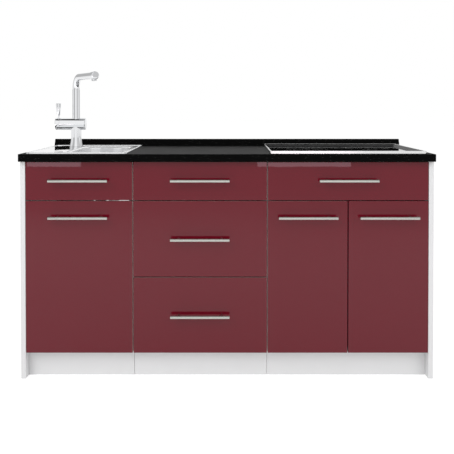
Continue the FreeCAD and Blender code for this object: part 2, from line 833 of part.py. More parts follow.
def strainer():
    """The lift-out basket in the waste cup, with its knob."""
    rim_z = bowl_floor_z + waste_flange + strainer_wall
    outer = waste_hole_radius - waste_gap - waste_wall - strainer_gap
    inner = outer - strainer_wall
    floor = rim_z - strainer_depth
    rim = outer + 2 * strainer_gap + waste_wall
    profile = [(0, floor), (outer, floor), (outer, rim_z - strainer_wall), (rim, rim_z - strainer_wall),
               (rim, rim_z), (inner, rim_z), (inner, floor + strainer_wall),
               (strainer_knob_radius / 2, floor + strainer_wall),
               (strainer_knob_radius / 2, floor + strainer_knob_height),
               (strainer_knob_radius, floor + strainer_knob_height),
               (strainer_knob_radius, floor + strainer_knob_height + 2 * strainer_wall),
               (0, floor + strainer_knob_height + 2 * strainer_wall)]
    basket = turned(profile, bowl_x, bowl_y)
    for number in range(strainer_holes):
        angle = 2 * math.pi * number / strainer_holes
        place = V(bowl_x + strainer_hole_circle * math.cos(angle),
                  bowl_y + strainer_hole_circle * math.sin(angle), floor)
        basket = basket.cut(rod(place, place + V(0, 0, strainer_wall), strainer_hole_radius))
    nodes["waste_strainer"] = [basket]


def trap():
    """The bottle trap with its outlet to the wall, and the overflow pipe into the waste."""
    inner = trap_radius - trap_wall
    collar = tail_radius + clip_gap
    profile = [(collar, trap_top_z), (trap_nut_radius, trap_top_z),
               (trap_nut_radius, trap_top_z - trap_drop), (trap_radius, trap_top_z - trap_drop),
               (trap_radius, trap_top_z - trap_drop - trap_length), (0, trap_top_z - trap_drop - trap_length),
               (0, trap_top_z - trap_drop - trap_length + trap_wall),
               (inner, trap_top_z - trap_drop - trap_length + trap_wall),
               (inner, trap_top_z - trap_drop - trap_wall), (collar, trap_top_z - trap_drop - trap_wall)]
    start, end = V(bowl_x, bowl_y + inner, outlet_z), V(bowl_x, outlet_end_y, outlet_z)
    nut_end = V(bowl_x, bowl_y + trap_radius + outlet_nut_length, outlet_z)
    body = turned(profile, bowl_x, bowl_y).fuse(rod(start, end, outlet_radius))
    body = body.fuse(rod(start, nut_end, trap_nut_radius).cut(
        rod(V(bowl_x, bowl_y, trap_top_z - trap_drop - trap_length), V(bowl_x, bowl_y, trap_top_z), inner)))
    body = body.cut(rod(start - V(0, trap_wall, 0), end, outlet_radius - outlet_wall)).removeSplitter()

    rear = bowl_y + bowl_length / 2 + sink_sheet
    cup_face = bowl_y + waste_hole_radius - waste_gap
    low_z = bowl_floor_z - sink_sheet - overflow_radius - overflow_wall
    route = [V(bowl_x, rear, overflow_z), V(bowl_x, rear + overflow_stand, overflow_z),
             V(bowl_x, rear + overflow_stand, low_z), V(bowl_x, cup_face, low_z)]
    pipe = bent_rod(route, overflow_bend, overflow_radius)
    pipe = pipe.cut(bent_rod(route, overflow_bend, overflow_radius - overflow_wall))
    cup = rod(V(bowl_x, bowl_y, low_z - overflow_bend), V(bowl_x, bowl_y, low_z + overflow_bend),
              waste_hole_radius - waste_gap)
    nodes["sink_trap"] = [body, pipe.cut(cup)]


# ---------------------------------------------------------------- tap
def tap():
    """The mixer: foot, column, mixing cylinder, riser and shank, the spindle, and the fittings below."""
    profile = [(0, deck_z), (tap_foot_radius, deck_z), (tap_column_radius, deck_z + tap_foot_height),
               (tap_column_radius, mixer_z), (0, mixer_z)]
    centre = V(tap_x, tap_y, mixer_z)
    mixer_start, mixer_end = tap_x - mixer_left_reach, tap_x + mixer_right_reach
    mixer = rod(V(mixer_start, tap_y, mixer_z), V(mixer_end, tap_y, mixer_z), mixer_radius)
    mixer = round_end(mixer, mixer_round, mixer_end)
    riser = rod(centre, V(tap_x, tap_y, riser_top_z), riser_radius)
    socket = rod(V(tap_x, tap_y, riser_top_z - spout_overlap), V(tap_x, tap_y, riser_top_z),
                 spout_radius + spout_fit)
    seat = V(mixer_start + spindle_seat, tap_y, mixer_z)
    spindle_bore = rod(V(mixer_start, tap_y, mixer_z), seat, spindle_radius + spindle_fit)
    shank_end = V(tap_x, tap_y, deck_z - shank_length)
    shank = rod(shank_end, V(tap_x, tap_y, deck_z), shank_radius)
    body = turned(profile, tap_x, tap_y).fuse([mixer, riser, shank]).cut(socket).cut(spindle_bore)
    spindle = rod(V(mixer_start - spindle_length, tap_y, mixer_z), seat, spindle_radius)
    nodes["tap_body"] = [body.removeSplitter(), spindle]

    under = V(tap_x, tap_y, deck_z - sink_sheet)
    nut_end = under - V(0, 0, shank_nut)
    nut = rod(nut_end, under, shank_nut_radius).cut(rod(nut_end, under, shank_radius + thread_clearance))
    tails = []
    for direction in (-1, 1):
        top = shank_end + V(direction * tail_pipe_offset, 0, 0)
        tails.append(rod(top - V(0, 0, tail_pipe_length), top, tail_pipe_radius))
    nodes["tap_tails"] = [nut] + tails


def spout():
    """The swivel spout: up from the riser, over in one bend and out to a rounded collar."""
    turn = math.radians(spout_turn)
    ahead = V(math.sin(turn), -math.cos(turn), 0)
    foot = V(tap_x, tap_y, riser_top_z - spout_overlap)
    corner = V(tap_x, tap_y, spout_z)
    end = corner + ahead * spout_reach
    tube = bent_rod([foot, corner, end - ahead * spout_end_round], spout_bend, spout_radius)
    collar = rod(end - ahead * spout_collar_length, end, spout_collar_radius)
    rims = [edge for edge in collar.Edges if (edge.CenterOfMass - end).Length < 1e-3]
    tube = tube.fuse(collar.makeFillet(spout_end_round, rims))
    bore_end = end - ahead * spout_wall * 2
    tube = tube.cut(bent_rod([foot, corner, bore_end], spout_bend, spout_radius - spout_wall))
    outlet = end - ahead * aerator_from_end
    low = outlet - V(0, 0, spout_collar_radius + aerator_drop)
    aerator = rod(low, outlet - V(0, 0, aerator_seat), aerator_radius)
    nodes["tap_spout"] = [tube.cut(aerator).removeSplitter(), aerator]


def lever():
    """The hub on the mixer's spindle, and the lever whose ball tilts in the hub."""
    face = tap_x - mixer_left_reach - hub_gap
    outer = face - hub_width
    middle = (face + outer) / 2
    hub = rod(V(outer, tap_y, mixer_z), V(face, tap_y, mixer_z), hub_radius)
    hub = round_end(hub, hub_round, outer)
    pivot = V(middle + ball_offset, tap_y, mixer_z + ball_height)
    hub = hub.cut(rod(V(face - spindle_length, tap_y, mixer_z), V(face, tap_y, mixer_z),
                      spindle_radius + spindle_fit))
    hub = hub.cut(Part.makeSphere(ball_radius + ball_gap, pivot))
    slot_half = neck_radius + neck_gap
    lean = (hub_radius - ball_height) * math.tan(math.radians(lever_tilt)) + neck_gap
    hub = hub.cut(box(pivot.x - slot_half - lean, pivot.x + slot_half, tap_y - slot_half, tap_y + slot_half,
                      pivot.z, mixer_z + hub_radius))
    nodes["tap_lever_hub"] = [hub]

    profile = [(0, 0), (neck_radius, 0), (neck_radius, neck_length), (lever_shoulder_radius,
               lever_shoulder_height), (lever_radius, lever_top_height - lever_top_round),
               (lever_radius - lever_top_round, lever_top_height), (0, lever_top_height)]
    raised = [(radius, pivot.z + height) for radius, height in profile]
    stick = turned(raised, pivot.x, pivot.y)
    nodes["tap_lever"] = [stick.fuse(Part.makeSphere(ball_radius, pivot)).removeSplitter()]


# ---------------------------------------------------------------- hob
def centred_box(width, depth, z0, z1, radius=0.0):
    """A block centred on the hob, with rounded upright edges if a radius is given."""
    block = box(hob_middle_x - width / 2, hob_middle_x + width / 2,
                hob_middle_y - depth / 2, hob_middle_y + depth / 2, z0, z1)
    return round_upright_edges(block, radius) if radius else block


def hob():
    """A raised frame with a glass sunk in it, a tray below, four heaters and the touch board."""
    top_z = worktop_top_z + hob_frame_height
    glass_top_z = top_z - hob_glass_recess
    ledge_z = glass_top_z - hob_glass_thickness
    collar_z = ledge_z - hob_ledge
    pocket_inset = hob_rim_cover + hob_collar_gap + hob_collar
    pocket_corner = hob_cutout_corner - hob_collar_gap - hob_collar

    def inset_block(inset, z0, z1, corner=0.0):
        return centred_box(hob_width - 2 * inset, hob_depth - 2 * inset, z0, z1, corner)

    def inset_outline(inset, z):
        half_width, half_depth = hob_width / 2 - inset, hob_depth / 2 - inset
        corners = [V(hob_middle_x + x * half_width, hob_middle_y + y * half_depth, z)
                   for x, y in ((-1, -1), (1, -1), (1, 1), (-1, 1))]
        return Part.makePolygon(corners + corners[:1])

    frame = inset_block(0, worktop_top_z, top_z, hob_frame_corner)
    frame = frame.fuse(inset_block(hob_rim_cover + hob_collar_gap, collar_z, worktop_top_z,
                                   hob_cutout_corner - hob_collar_gap))
    frame = frame.cut(inset_block(pocket_inset, ledge_z, top_z, pocket_corner))
    frame = frame.cut(inset_block(pocket_inset + hob_ledge_width, collar_z, ledge_z))
    frame = frame.cut(Part.makeLoft([inset_outline(pocket_inset, glass_top_z),
                                     inset_outline(hob_frame_width, top_z)], True, True))
    nodes["hob_frame"] = [frame.removeSplitter()]
    nodes["hob_glass"] = [inset_block(pocket_inset, ledge_z, glass_top_z, pocket_corner)]

    half_tray = hob_cutout_width / 2 - tray_side_gap
    tray_left, tray_right = hob_middle_x - half_tray, hob_middle_x + half_tray
    tray_near = carcass_y + board + tray_rail_gap
    tray_far = hob_middle_y + hob_cutout_depth / 2 - tray_rear_gap
    tray_floor = collar_z - tray_height
    tray = box(tray_left, tray_right, tray_near, tray_far, tray_floor, collar_z)
    lip = inset_block(hob_rim_cover + tray_lip_gap, collar_z - tray_sheet, collar_z,
                      hob_cutout_corner - tray_lip_gap)
    hollow = box(tray_left + tray_sheet, tray_right - tray_sheet, tray_near + tray_sheet,
                 tray_far - tray_sheet, tray_floor + tray_sheet, collar_z)
    gland_start = V(hob_middle_x, tray_far, tray_floor + gland_lift)
    gland = rod(gland_start, gland_start + V(0, gland_length, 0), gland_radius)
    nodes["hob_tray"] = [tray.fuse(lip).cut(hollow).removeSplitter(), gland]

    parts = []
    for side_x, side_y, zone in ((-1, -1, large_zone_radius), (-1, 1, small_zone_radius),
                                 (1, -1, small_zone_radius), (1, 1, large_zone_radius)):
        x = hob_middle_x + side_x * zone_offset_x
        y = hob_middle_y + side_y * zone_offset_y
        bottom = V(x, y, ledge_z - heater_height)
        dish = rod(bottom, V(x, y, ledge_z), zone + heater_rim)
        well = rod(bottom + V(0, 0, heater_floor), V(x, y, ledge_z), zone)
        parts.append(dish.cut(well))
    board_near = tray_near + tray_sheet + board_front_gap
    parts.append(box(hob_middle_x - board_length / 2, hob_middle_x + board_length / 2, board_near,
                     board_near + board_depth, ledge_z - board_height, ledge_z))
    nodes["hob_internals"] = parts


# ---------------------------------------------------------------- build
# Holes for the screws that tie each cabinet to the wall
wall_hole_z = carcass_top_z - rear_rail_height / 2

# The shelf lies on its pins
shelf_z = floor_board_z + shelf_height
shelf_pin_z = shelf_z - shelf_pin_radius
plinth_y = face_y + plinth_setback

# Drawer boxes and runners fill the cabinet's depth
box_length = front_standoff + cabinet_depth - back_inset - back_thickness - box_rear_gap
runner_length = box_length

# Sink, waste and tap
sink_width = sink_cabinet_width + cheek + worktop_end_overhang - sink_side_margin - sink_right_margin
sink_depth = worktop_depth - sink_front_margin - sink_rear_margin
bowl_width = sink_width - tap_deck_width - bowl_right_margin
bowl_length = sink_depth - bowl_front_margin - rear_deck_depth
sink_left_x = worktop_left_x + sink_side_margin
sink_right_x = sink_left_x + sink_width
sink_front_y = worktop_front_y + sink_front_margin
sink_rear_y = sink_front_y + sink_depth
deck_z = worktop_top_z + sink_rim_height
bowl_x = sink_right_x - bowl_right_margin - bowl_width / 2
bowl_y = sink_front_y + bowl_front_margin + bowl_length / 2
bowl_floor_z = deck_z - bowl_depth
overflow_z = deck_z - overflow_drop
trap_top_z = bowl_floor_z - waste_cup_depth - trap_drop
outlet_z = trap_top_z - trap_drop - outlet_drop
outlet_end_y = wall_y - outlet_wall_gap
tap_x = sink_left_x + tap_from_left
tap_y = sink_rear_y - tap_from_rear
mixer_z = deck_z + tap_axis_height
riser_top_z = deck_z + riser_top
spout_z = deck_z + spout_axis_height

# Hob, centred over its cabinet
hob_width = hob_cabinet_width - 2 * hob_side_margin
hob_depth = worktop_depth - hob_front_margin - hob_rear_margin
hob_cutout_width = hob_width - 2 * hob_rim_cover
hob_cutout_depth = hob_depth - 2 * hob_rim_cover
hob_middle_x = (hob_x + right_x) / 2
hob_front_y = worktop_front_y + hob_front_margin
hob_middle_y = hob_front_y + hob_depth / 2

cabinet_bodies()
shelf()
cheeks_and_plinth()
legs()
steel_fixings()
worktop_and_strip()
fixed_front()
doors()
drawers()
sink()
waste()
strainer()
trap()
tap()
spout()
lever()
hob()

os.makedirs("parts", exist_ok=True)
for name, solids in nodes.items():
    shape = solids[0] if len(solids) == 1 else Part.makeCompound(solids)
    shape.exportStep("parts/" + name + ".step")
    volume = sum(solid.Volume for solid in solids) / 1000
    print(f"{name}: {len(shape.Solids)} solids, {volume:.1f} cm3, valid {shape.isValid()}")
print(len(nodes), "nodes")
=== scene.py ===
# %% [markdown]
# # A kitchenette unit, dressed in Blender
# The cabinets, the tap and the hob arrive as solids of the right size in the right place. What
# is left to make is how they look: rounded edges, smooth chrome, brushed bars, a fleck in the
# black worktop, the print on the hob, and the small hardware that a cabinet maker would fit.

# %% Load the frame
import json
import math

import bmesh
import bpy
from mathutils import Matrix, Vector


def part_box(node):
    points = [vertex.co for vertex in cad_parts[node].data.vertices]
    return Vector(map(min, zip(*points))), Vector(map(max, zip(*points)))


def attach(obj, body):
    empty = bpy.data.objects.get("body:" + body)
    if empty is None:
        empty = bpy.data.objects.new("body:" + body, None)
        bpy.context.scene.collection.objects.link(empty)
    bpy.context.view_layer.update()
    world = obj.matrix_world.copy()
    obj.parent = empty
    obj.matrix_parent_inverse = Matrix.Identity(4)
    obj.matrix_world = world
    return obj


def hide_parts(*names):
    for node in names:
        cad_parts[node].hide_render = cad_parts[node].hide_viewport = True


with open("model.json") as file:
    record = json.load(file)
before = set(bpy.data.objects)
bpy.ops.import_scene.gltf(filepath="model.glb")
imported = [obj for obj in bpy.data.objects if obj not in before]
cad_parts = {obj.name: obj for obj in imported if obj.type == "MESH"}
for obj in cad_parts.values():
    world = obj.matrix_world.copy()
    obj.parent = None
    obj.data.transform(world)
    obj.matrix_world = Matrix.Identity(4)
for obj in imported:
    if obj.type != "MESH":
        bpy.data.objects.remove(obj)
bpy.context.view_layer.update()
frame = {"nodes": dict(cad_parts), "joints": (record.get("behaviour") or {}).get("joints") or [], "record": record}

bodies = frame["record"]["behaviour"]["bodies"]
body_of = {node: body for body, members in bodies.items() for node in members}
slot_of = {part["node"]: part["material_slot"] for part in frame["record"]["subparts"]}
pivot = {joint["name"]: Vector(joint["pos_m"]) for joint in frame["joints"] if joint.get("pos_m")}
MM = 0.001

# %% [markdown]
# ## Camera
# The photograph was taken with the camera almost level and the lens shifted, so its upright
# edges stay nearly upright. The focal length, height and distance were worked out from the
# converging edges of the worktop. Most of the downward look is lens shift, and a little is tilt.

# %% Camera
FRAME_PIXELS = 454
FOCAL_PIXELS = 737.5
HORIZON_ROW = 105.3
CAMERA_HEIGHT = 1.02
CAMERA_TO_FRONTS = 2.733
TILT = math.radians(1.0)
fronts_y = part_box("sink_door_panel")[0].y

lens = bpy.data.cameras.new("camera")
lens.lens = FOCAL_PIXELS / FRAME_PIXELS * lens.sensor_width
lens.shift_y = (HORIZON_ROW - FRAME_PIXELS / 2 + FOCAL_PIXELS * math.tan(TILT)) / FRAME_PIXELS
camera = bpy.data.objects.new("camera", lens)
camera.location = (0.0, fronts_y - CAMERA_TO_FRONTS, CAMERA_HEIGHT)
camera.rotation_euler = (math.pi / 2 - TILT, 0, 0)
bpy.context.scene.collection.objects.link(camera)
bpy.context.scene.camera = camera
bpy.context.scene.view_settings.view_transform = "Standard"
print("lens", round(lens.lens, 1), "mm, shift", round(lens.shift_y, 3))


# %% [markdown]
# ## Node trees in plain Python
# A pattern such as a fleck or a printed ring is arithmetic on coordinates. Wrapping a socket
# in a small class lets that arithmetic be written as an expression, whose operators add the Math
# nodes. The same wrapper serves materials, the world and the trees that make geometry.

# %% Sockets as expressions
def operator(operation, swapped=False):
    """A method that adds the Math node an operator stands for."""
    def method(self, other=0.0):
        return self.tree.maths(operation, *((other, self) if swapped else (self, other)))
    return method


class Socket:
    """An output socket that can stand in a Python expression."""

    def __init__(self, tree, socket):
        self.tree = tree
        self.socket = socket

    __add__ = __radd__ = operator("ADD")
    __mul__ = __rmul__ = operator("MULTIPLY")
    __sub__, __rsub__ = operator("SUBTRACT"), operator("SUBTRACT", swapped=True)
    __gt__, __lt__ = operator("GREATER_THAN"), operator("LESS_THAN")
    __abs__ = operator("ABSOLUTE")


# %% A tree that is built from expressions
class Tree:
    """A node tree, with one method that adds any node."""

    def __init__(self, tree):
        self.nodes, self.links = tree.nodes, tree.links

    def plug(self, socket, value):
        if isinstance(value, Socket):
            self.links.new(value.socket, socket)
        elif socket.type == "RGBA" and len(value) == 3:
            socket.default_value = (*value, 1.0)
        else:
            socket.default_value = value

    def add(self, kind, settings=None, inputs=None, output=0):
        """Adds a node: its settings first, then its sockets. A tuple asks for several outputs."""
        node = self.nodes.new(kind)
        for name, value in (settings or {}).items():
            if name == "stops":
                self.set_stops(node.color_ramp.elements, value)
            else:
                setattr(node, name, value)
        for name, value in (inputs or {}).items():
            self.plug(node.inputs[name], value)
        if isinstance(output, tuple):
            return [Socket(self, node.outputs[name]) for name in output]
        return Socket(self, node.outputs[output])

    def set_stops(self, elements, stops):
        while len(elements) < len(stops):
            elements.new(0.5)
        for element, (place, level) in zip(elements, stops):
            element.position = place
            element.color = (level, level, level, 1)

    def maths(self, operation, first, second=0.0):
        return self.add("ShaderNodeMath", {"operation": operation}, {0: first, 1: second})

    def mix(self, factor, first, second):
        """A colour between two colours."""
        return self.add("ShaderNodeMix", {"data_type": "RGBA"}, {0: factor, 6: first, 7: second}, 2)

    def axes(self, place):
        """The three coordinates of a place, each as an expression."""
        return self.add("ShaderNodeSeparateXYZ", {}, {0: place}, (0, 1, 2))


# %% A finish
class Finish(Tree):
    """A material with one Principled shader, and the nodes that vary it over the surface."""

    def __init__(self, name, **constants):
        self.material = bpy.data.materials.new(name)
        self.material.use_nodes = True
        super().__init__(self.material.node_tree)
        self.shader = self.nodes["Principled BSDF"]
        for socket, value in constants.items():
            self.feed(socket.replace("_", " "), value)

    def feed(self, socket, value):
        """Sets one of the shader's sockets to a constant, or links an expression to it."""
        self.plug(self.shader.inputs[socket], value)

    def place(self, scale=(1, 1, 1), shift=(0, 0, 0)):
        """Object coordinates, scaled and moved."""
        here = self.add("ShaderNodeTexCoord", output="Object")
        inputs = {"Vector": here, "Location": shift, "Scale": scale}
        return self.add("ShaderNodeMapping", {}, inputs)

    def noise(self, scale, detail=2.0, roughness=0.5, stretch=(1, 1, 1)):
        inputs = {"Vector": self.place(stretch), "Scale": scale, "Detail": detail,
                  "Roughness": roughness}
        return self.add("ShaderNodeTexNoise", {}, inputs)

    def between(self, factor, low, high):
        """A number that goes from low to high as the factor goes from 0 to 1."""
        return self.add("ShaderNodeMapRange", {}, {0: factor, 3: low, 4: high})

    def step(self, value, start, end):
        """A soft step: 0 up to start, 1 from end."""
        return self.add("ShaderNodeMapRange", {"interpolation_type": "SMOOTHSTEP"},
                        {0: value, 1: start, 2: end})

    def facing(self):
        """The three parts of the surface's own direction, which turn with the piece."""
        return self.axes(self.add("ShaderNodeTexCoord", output="Normal"))

    def varied(self, colour, roughness, height=None, distance=1.0, strength=1.0):
        """Feeds what varies over the surface, with a bump if a height is given."""
        self.feed("Base Color", colour)
        self.feed("Roughness", roughness)
        if height is not None:
            inputs = {"Height": height, "Distance": distance, "Strength": strength}
            self.feed("Normal", self.add("ShaderNodeBump", {}, inputs))
        return self.material


def tone(*channels):
    """A colour read from 0 to 255, as a shader needs it."""
    parts = [channel / 255 for channel in channels]
    return tuple(p / 12.92 if p <= 0.04045 else ((p + 0.055) / 1.055) ** 2.4 for p in parts)


def shaded(colour, share):
    """The same colour, with less light in it."""
    return tuple(channel * share for channel in colour)


# %% [markdown]
# ## The red fronts
# The fronts are lacquered board with a high gloss: a deep red under a clear surface that adds a
# few percent of whatever it faces. A large, faint noise in the bump makes reflections wander, and
# a finer one in the roughness is polishing haze. The red stops at the front face. The edges
# carry a pale band of painted highlight, the thin line of light along a rounded edge, and the back
# is plain white, so the depth of a point in the board says which of the three it belongs to.
# Where the two doors meet, and on the edges that face up or down, the bands are painted shade,
# the dark of the gaps between the fronts.

# %% Red lacquer
LACQUER = (0.118, 0.0034, 0.0112)
LACQUER_DEEP = (0.112, 0.0031, 0.0102)
# The pale edge colour is painted highlight, the light that a rounded edge catches; the dark one is painted shade
# for the gaps.
EDGE_PAINTED_LIGHT = tone(196, 178, 172)
EDGE_PAINTED_SHADE = tone(24, 12, 12)
BOARD_BACK = tone(224, 224, 221)
FRONT_THICKNESS = 16 * MM
RED_FACE_ENDS = (0.3 * MM, 0.8 * MM)
LEVEL_EDGE_SHADE_FROM = 1.3 * MM
JOINT_SHADE_REACH = 8 * MM


def red_lacquer(face_y, pair_x):
    finish = Finish("red_lacquer", IOR=1.42)
    waves = finish.noise(9.0, 3.0)
    haze = finish.noise(60.0, 4.0)
    x, y, z = finish.axes(finish.place(shift=(-pair_x, -face_y, 0)))
    edge = finish.step(y, *RED_FACE_ENDS)
    red = finish.mix(waves, LACQUER, LACQUER_DEEP)
    # Painted shade on the level edges further in and where the doors meet; painted highlight on the rest of the
    # edges.
    level = (abs(finish.facing()[2]) > 0.5) * (y > LEVEL_EDGE_SHADE_FROM)
    shade_mask = finish.maths("MAXIMUM", level, abs(x) < JOINT_SHADE_REACH)
    edge_light_and_shade = finish.mix(shade_mask, EDGE_PAINTED_LIGHT, EDGE_PAINTED_SHADE)
    outside = finish.mix(edge, red, edge_light_and_shade)
    colour = finish.mix(y > FRONT_THICKNESS - 0.1 * MM, outside, BOARD_BACK)
    gloss = finish.between(haze, 0.010, 0.022) + edge * 0.3
    return finish.varied(colour, gloss, waves, 0.0003, 0.25)


# %% [markdown]
# ## The black worktop
# The worktop is a laminate that imitates fine black granite. Sparse pale grains lie among
# many dim ones, and a fine stipple keeps it from being a mirror. Cells of a Voronoi texture make
# the grains, and only those with a high random value show. The underside is brown backing paper.

# %% Black laminate
STONE = tone(6, 6, 6)
STONE_GRAIN = tone(26, 26, 27)
STONE_SPARK = tone(96, 96, 94)
BACKING = tone(92, 74, 58)


def black_laminate():
    finish = Finish("black_laminate", IOR=1.22, Specular_IOR_Level=0.1)
    cell = {"Vector": finish.place(), "Scale": 420.0}
    pick = finish.axes(finish.add("ShaderNodeTexVoronoi", {}, cell, "Color"))[0]
    distance = finish.add("ShaderNodeTexVoronoi", {}, cell, "Distance")
    dot = 1 - finish.step(distance, 0.15, 0.45)
    clouds = finish.noise(14.0, 5.0, 0.6)
    bright = (pick > 0.97) * dot
    dim = finish.step(pick, 0.55, 0.95) * dot * finish.step(clouds, 0.35, 0.7)
    base = finish.mix(dim, STONE, STONE_GRAIN)
    skin = finish.mix(bright * 0.8, base, STONE_SPARK)
    colour = finish.mix(finish.facing()[2] < -0.9, skin, BACKING)
    stipple = finish.noise(900.0, 2.0)
    return finish.varied(colour, finish.between(clouds, 0.46, 0.56), stipple, 0.00006, 0.5)


# %% [markdown]
# ## White board
# Carcasses, cheeks and plinth are chipboard with a white melamine skin. The skin has a fine
# pearl texture, and the rear edges are left as raw chipboard. They are found by the surface's
# own direction and by how far back a point lies.

# %% Melamine, with raw rear edges
CHIP_DARK = tone(150, 118, 82)
CHIP_PALE = tone(206, 178, 136)


def melamine(name, colour, raw_from=None):
    finish = Finish(name, IOR=1.45, Specular_IOR_Level=0.35)
    pearl = finish.noise(700.0, 3.0)
    patches = finish.noise(6.0, 2.0)
    skin = finish.mix(patches, colour, shaded(colour, 0.965))
    if raw_from is not None:
        raw = (finish.facing()[1] > 0.9) * (finish.axes(finish.place())[1] > raw_from)
        chips = finish.noise(260.0, 5.0, 0.7, (1.0, 1.0, 2.5))
        chipboard = finish.mix(finish.step(chips, 0.35, 0.65), CHIP_DARK, CHIP_PALE)
        skin = finish.mix(raw, skin, chipboard)
    return finish.varied(skin, finish.between(pearl, 0.36, 0.46), pearl, 0.00004, 0.5)


# %% [markdown]
# ## Metals
# Metals are told apart by how they were finished. The bars are brushed along their length, so
# their roughness follows streaks that are long in X and short across. The sink's deck is
# polished, and its bowl is satin. Chrome is a mirror with almost no texture. The runners and
# brackets are zinc plated, which leaves soft grey patches.

# %% Brushed, polished and plated metal
def brushed(name, colour, along, low, high):
    """Steel with fine lines along one axis."""
    finish = Finish(name, Metallic=1.0)
    stretch = [1.0 if axis == along else 60.0 for axis in "xyz"]
    lines = finish.noise(45.0, 4.0, 0.65, stretch)
    broad = finish.noise(20.0, 2.0)
    streaked = finish.mix(lines * 0.6 + broad * 0.4, colour, shaded(colour, 0.86))
    return finish.varied(streaked, finish.between(lines, low, high), lines, 0.00002, 0.35)


def polished(name, colour, low, high):
    """Metal with a polished skin and very faint handling marks."""
    finish = Finish(name, Metallic=1.0)
    marks = finish.noise(90.0, 5.0, 0.6)
    marked = finish.mix(marks, colour, shaded(colour, 0.97))
    return finish.varied(marked, finish.between(marks, low, high))


def plated(name, colour):
    """Zinc or nickel plate over pressed sheet."""
    finish = Finish(name, Metallic=1.0)
    inputs = {"Vector": finish.place(), "Scale": 160.0}
    cells = finish.add("ShaderNodeTexVoronoi", {}, inputs, "Distance")
    patches = finish.noise(35.0, 3.0)
    patchy = finish.mix(patches, colour, shaded(colour, 0.82))
    return finish.varied(patchy, finish.between(cells * 0.5 + patches * 0.5, 0.26, 0.44))


# %% Sink steel
DRAINER_FALL = 0.012
DRAINER_FADE = 20 * MM
BOWL_FROM, BOWL_TO = 10 * MM, 4 * MM
RIM_FROM, RIM_TO = 1.5 * MM, 0.8 * MM
PRESS_WAVE = 0.4 * MM


def sink_steel(deck_z, drainer_x):
    """Polished on the deck, satin inside the bowl, with the slight waves of pressed sheet."""
    finish = Finish("sink_steel")
    x, y, z = finish.axes(finish.place())
    in_bowl = 1 - finish.step(z, deck_z - BOWL_FROM, deck_z - BOWL_TO)
    right = finish.step(x, drainer_x - DRAINER_FADE, drainer_x)
    linen = finish.noise(220.0, 3.0, 0.6, (1.0, 9.0, 9.0))
    waves = finish.noise(11.0, 2.0)
    rim = finish.step(z, deck_z - RIM_FROM, deck_z - RIM_TO)
    finish.feed("Metallic", 1 - in_bowl * 0.28 - rim * 0.5)
    steel = finish.mix(linen, tone(244, 245, 246), tone(230, 231, 233))
    satin = finish.between(in_bowl, 0.02, 0.22) + linen * 0.02 + right * 0.13 + rim * 0.2
    fall = (1 - right) * y * -DRAINER_FALL
    return finish.varied(steel, satin, waves * PRESS_WAVE + fall)


# %% [markdown]
# ## Plastics
# Moulded plastic has a fine spark-eroded texture that softens its shine. The legs, the pipes
# and the small caps share it, in other colours.

# %% Moulded plastic
def moulded(name, colour):
    finish = Finish(name, IOR=1.46, Specular_IOR_Level=0.4)
    grain = finish.noise(480.0, 3.0)
    shade = finish.noise(18.0, 2.0)
    mottled = finish.mix(shade, colour, shaded(colour, 0.93))
    return finish.varied(mottled, finish.between(grain, 0.36, 0.48), grain, 0.00005, 0.6)


# %% [markdown]
# ## The hob glass
# Black glass ceramic, with zones and touch keys printed on it in pale grey. A ring is the band
# where the distance to a centre is close to the radius, and its dashes come from the angle
# round the centre. The keys are small rings with a minus or a plus in them.

# %% Hob glass
ZONE_X, ZONE_Y = 0.135, 0.105
LARGE_ZONE, SMALL_ZONE = 0.090, 0.0725
ZONES = ((-1, -1, LARGE_ZONE), (-1, 1, SMALL_ZONE), (1, -1, SMALL_ZONE), (1, 1, LARGE_ZONE))
RING_WIDTH = 0.0016
CROSS_REACH = 0.006
DASHES, DASH_CUT = 60, -0.55
KEY_PITCH = 0.034
KEY_RADIUS = 0.0075
KEY_INSET = 0.026
KEY_LINE = 0.0009
KEY_SIGN_REACH = 0.003
KEYS = 7
GLASS_BLACK = tone(6, 6, 7)
GLASS_FLECK = tone(12, 12, 14)
PRINT = tone(150, 150, 148)


def hob_glass(centre, front_edge):
    finish = Finish("hob_glass", IOR=1.5, Specular_IOR_Level=0.5)
    x, y, z = finish.axes(finish.place(shift=(-centre.x, -centre.y, 0)))

    def from_point(px, py):
        across, along = x - px, y - py
        return finish.maths("SQRT", across * across + along * along)

    def stroke(across, along, width, reach):
        return (abs(across) < width) * (abs(along) < reach)

    printed = 0.0
    for side_x, side_y, radius in ZONES:
        px, py = side_x * ZONE_X, side_y * ZONE_Y
        ring = abs(from_point(px, py) - radius) < RING_WIDTH / 2
        angle = finish.maths("ARCTAN2", y - py, x - px)
        dashes = finish.maths("SINE", angle * DASHES) > DASH_CUT
        upright = stroke(x - px, y - py, RING_WIDTH / 3, CROSS_REACH)
        level = stroke(y - py, x - px, RING_WIDTH / 3, CROSS_REACH)
        printed = ring * dashes + upright + level + printed
    key_y = front_edge - centre.y + KEY_INSET
    for number in range(KEYS):
        key_x = (number - (KEYS - 1) / 2) * KEY_PITCH
        printed = (abs(from_point(key_x, key_y) - KEY_RADIUS) < KEY_LINE / 2) + printed
        printed = stroke(y - key_y, x - key_x, KEY_LINE / 2, KEY_SIGN_REACH) + printed
        if number % 2:
            printed = stroke(x - key_x, y - key_y, KEY_LINE / 2, KEY_SIGN_REACH) + printed
    ink = finish.maths("MINIMUM", printed, 1.0)
    speckle = finish.noise(1400.0, 1.0)
    black = finish.mix(finish.step(speckle, 0.62, 0.7), GLASS_BLACK, GLASS_FLECK)
    return finish.varied(finish.mix(ink, black, PRINT), finish.between(ink, 0.02, 0.3))


# %% [markdown]
# ## Name the finishes
# Each slot of the record gets one material, so that a piece can be given its finish by name.

